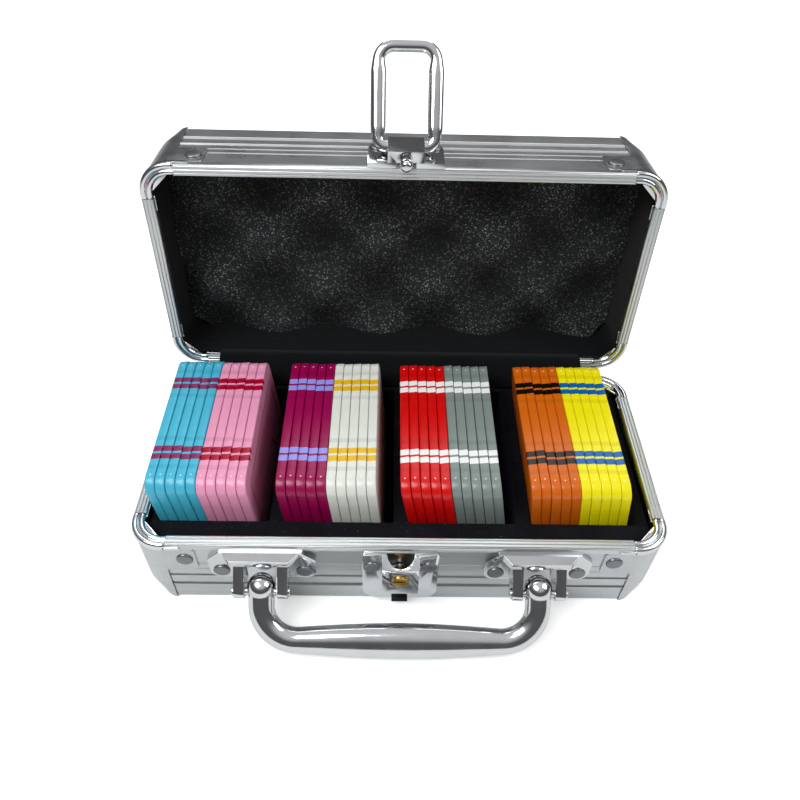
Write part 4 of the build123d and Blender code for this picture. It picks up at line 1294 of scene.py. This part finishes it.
def build_floor():
    """A level sheet of pale card just under the case. To the camera it turns white far away."""
    grid = np.linspace(-FLOOR_REACH, FLOOR_REACH, 9)
    floor = mesh_piece("studio_floor", [shell(stack(grid[None], grid[:, None], FLOOR_LEVEL))])
    pale = color("#FAFAFA")
    extra = [("Specular IOR Level", 0.2), ("Emission Color", WHITE)]
    material, place = new_material("Pale studio card", pale, 0.0, 0.8, extra)
    tree = material.node_tree
    rays = add_node(tree, "ShaderNodeLightPath").outputs
    card = shaded(noise(place, 60.0, 2.0), pale, 0.01)
    away = add_node(tree, "ShaderNodeVectorMath", [(0, place)], operation="LENGTH")
    glow = ranged(away.outputs["Value"], 0.36, 1.0, 0.3, 0.9)
    floor.data.materials.append(linked(material, {
        "Base Color": mixed(rays["Is Glossy Ray"], card, color("#EEF0F0")),
        "Emission Strength": math("MULTIPLY", rays["Is Camera Ray"], glow),
    }))


def build_stage():
    bpy.context.scene.view_settings.view_transform = "Standard"
    build_camera()
    build_world()
    build_lamps()
    build_floor()


# Operators, one for each group of like pieces

class BuildOperator:
    bl_options = {"REGISTER", "UNDO"}

    def execute(self, context):
        for build in self.builders:
            build()
        return {"FINISHED"}


def build_operator(name, label, description, *builders):
    """An operator class that runs one group's builders."""
    settings = {
        "__doc__": description, "bl_idname": f"plaque_case.add_{name}", "bl_label": label,
        "builders": builders,
    }
    return type(f"PLAQUE_CASE_OT_{name}", (BuildOperator, bpy.types.Operator), settings)


OPERATORS = tuple(build_operator(*row) for row in (
    ("stage", "Stage", "Adds the camera, the lamps, the studio light and the floor", build_stage),
    ("frame", "Walls, Rims and Panels", "Adds the wall extrusions, the rim strips and two panels",
     build_walls, build_rims, build_panels),
    ("corners", "Corners and Rivets", "Adds the rim corners, the stamped covers and their rivets",
     build_rim_corners, build_covers, build_rivets),
    ("handle", "Handle", "Adds the handle and the brackets that carry it",
     build_handle, build_brackets),
    ("lock", "Lock", "Adds the lock with its cylinder, cam and tab", build_lock),
    ("latch", "Latch and Bail", "Adds the latch box on the lid with its stud and bail",
     build_latch, build_bail),
    ("hinges", "Hinges", "Adds the two rear hinges", build_hinges),
    ("tray", "Tray", "Adds the flocked tray in the base", build_tray),
    ("plaques", "Plaques", "Adds forty plaques in eight colours", build_plaques),
    ("soft", "Foam and Cloth", "Adds the foam, the lining and the cloth over the hinge",
     build_foam, build_lining, build_hinge_strip),
))


PROPERTIES = {
    "plaque_case_sizes": CaseSizes, "plaque_case_plaques": PlaqueSizes,
    "plaque_case_colours": CaseColours,
}


class PLAQUE_CASE_PT_sidebar(bpy.types.Panel):
    """Lists the sizes, the colours and the groups of pieces"""
    bl_label = "Plaque Case"
    bl_space_type = "VIEW_3D"
    bl_region_type = "UI"
    bl_category = "Plaque Case"

    def draw(self, context):
        for prop in PROPERTIES:
            group, box = getattr(context.scene, prop), self.layout.box()
            for name in group.__annotations__:
                box.prop(group, name)
        for operator in OPERATORS:
            self.layout.operator(operator.bl_idname)


CLASSES = (*PROPERTIES.values(), *OPERATORS, PLAQUE_CASE_PT_sidebar)


def register():
    for one in CLASSES:
        bpy.utils.register_class(one)
    for name, group in PROPERTIES.items():
        setattr(bpy.types.Scene, name, bpy.props.PointerProperty(type=group))


def unregister():
    for name in PROPERTIES:
        delattr(bpy.types.Scene, name)
    for one in reversed(CLASSES):
        bpy.utils.unregister_class(one)


def main():
    register()
    for operator in OPERATORS:
        getattr(bpy.ops.plaque_case, operator.bl_idname.split(".")[1])()


if __name__ == "__main__":
    main()
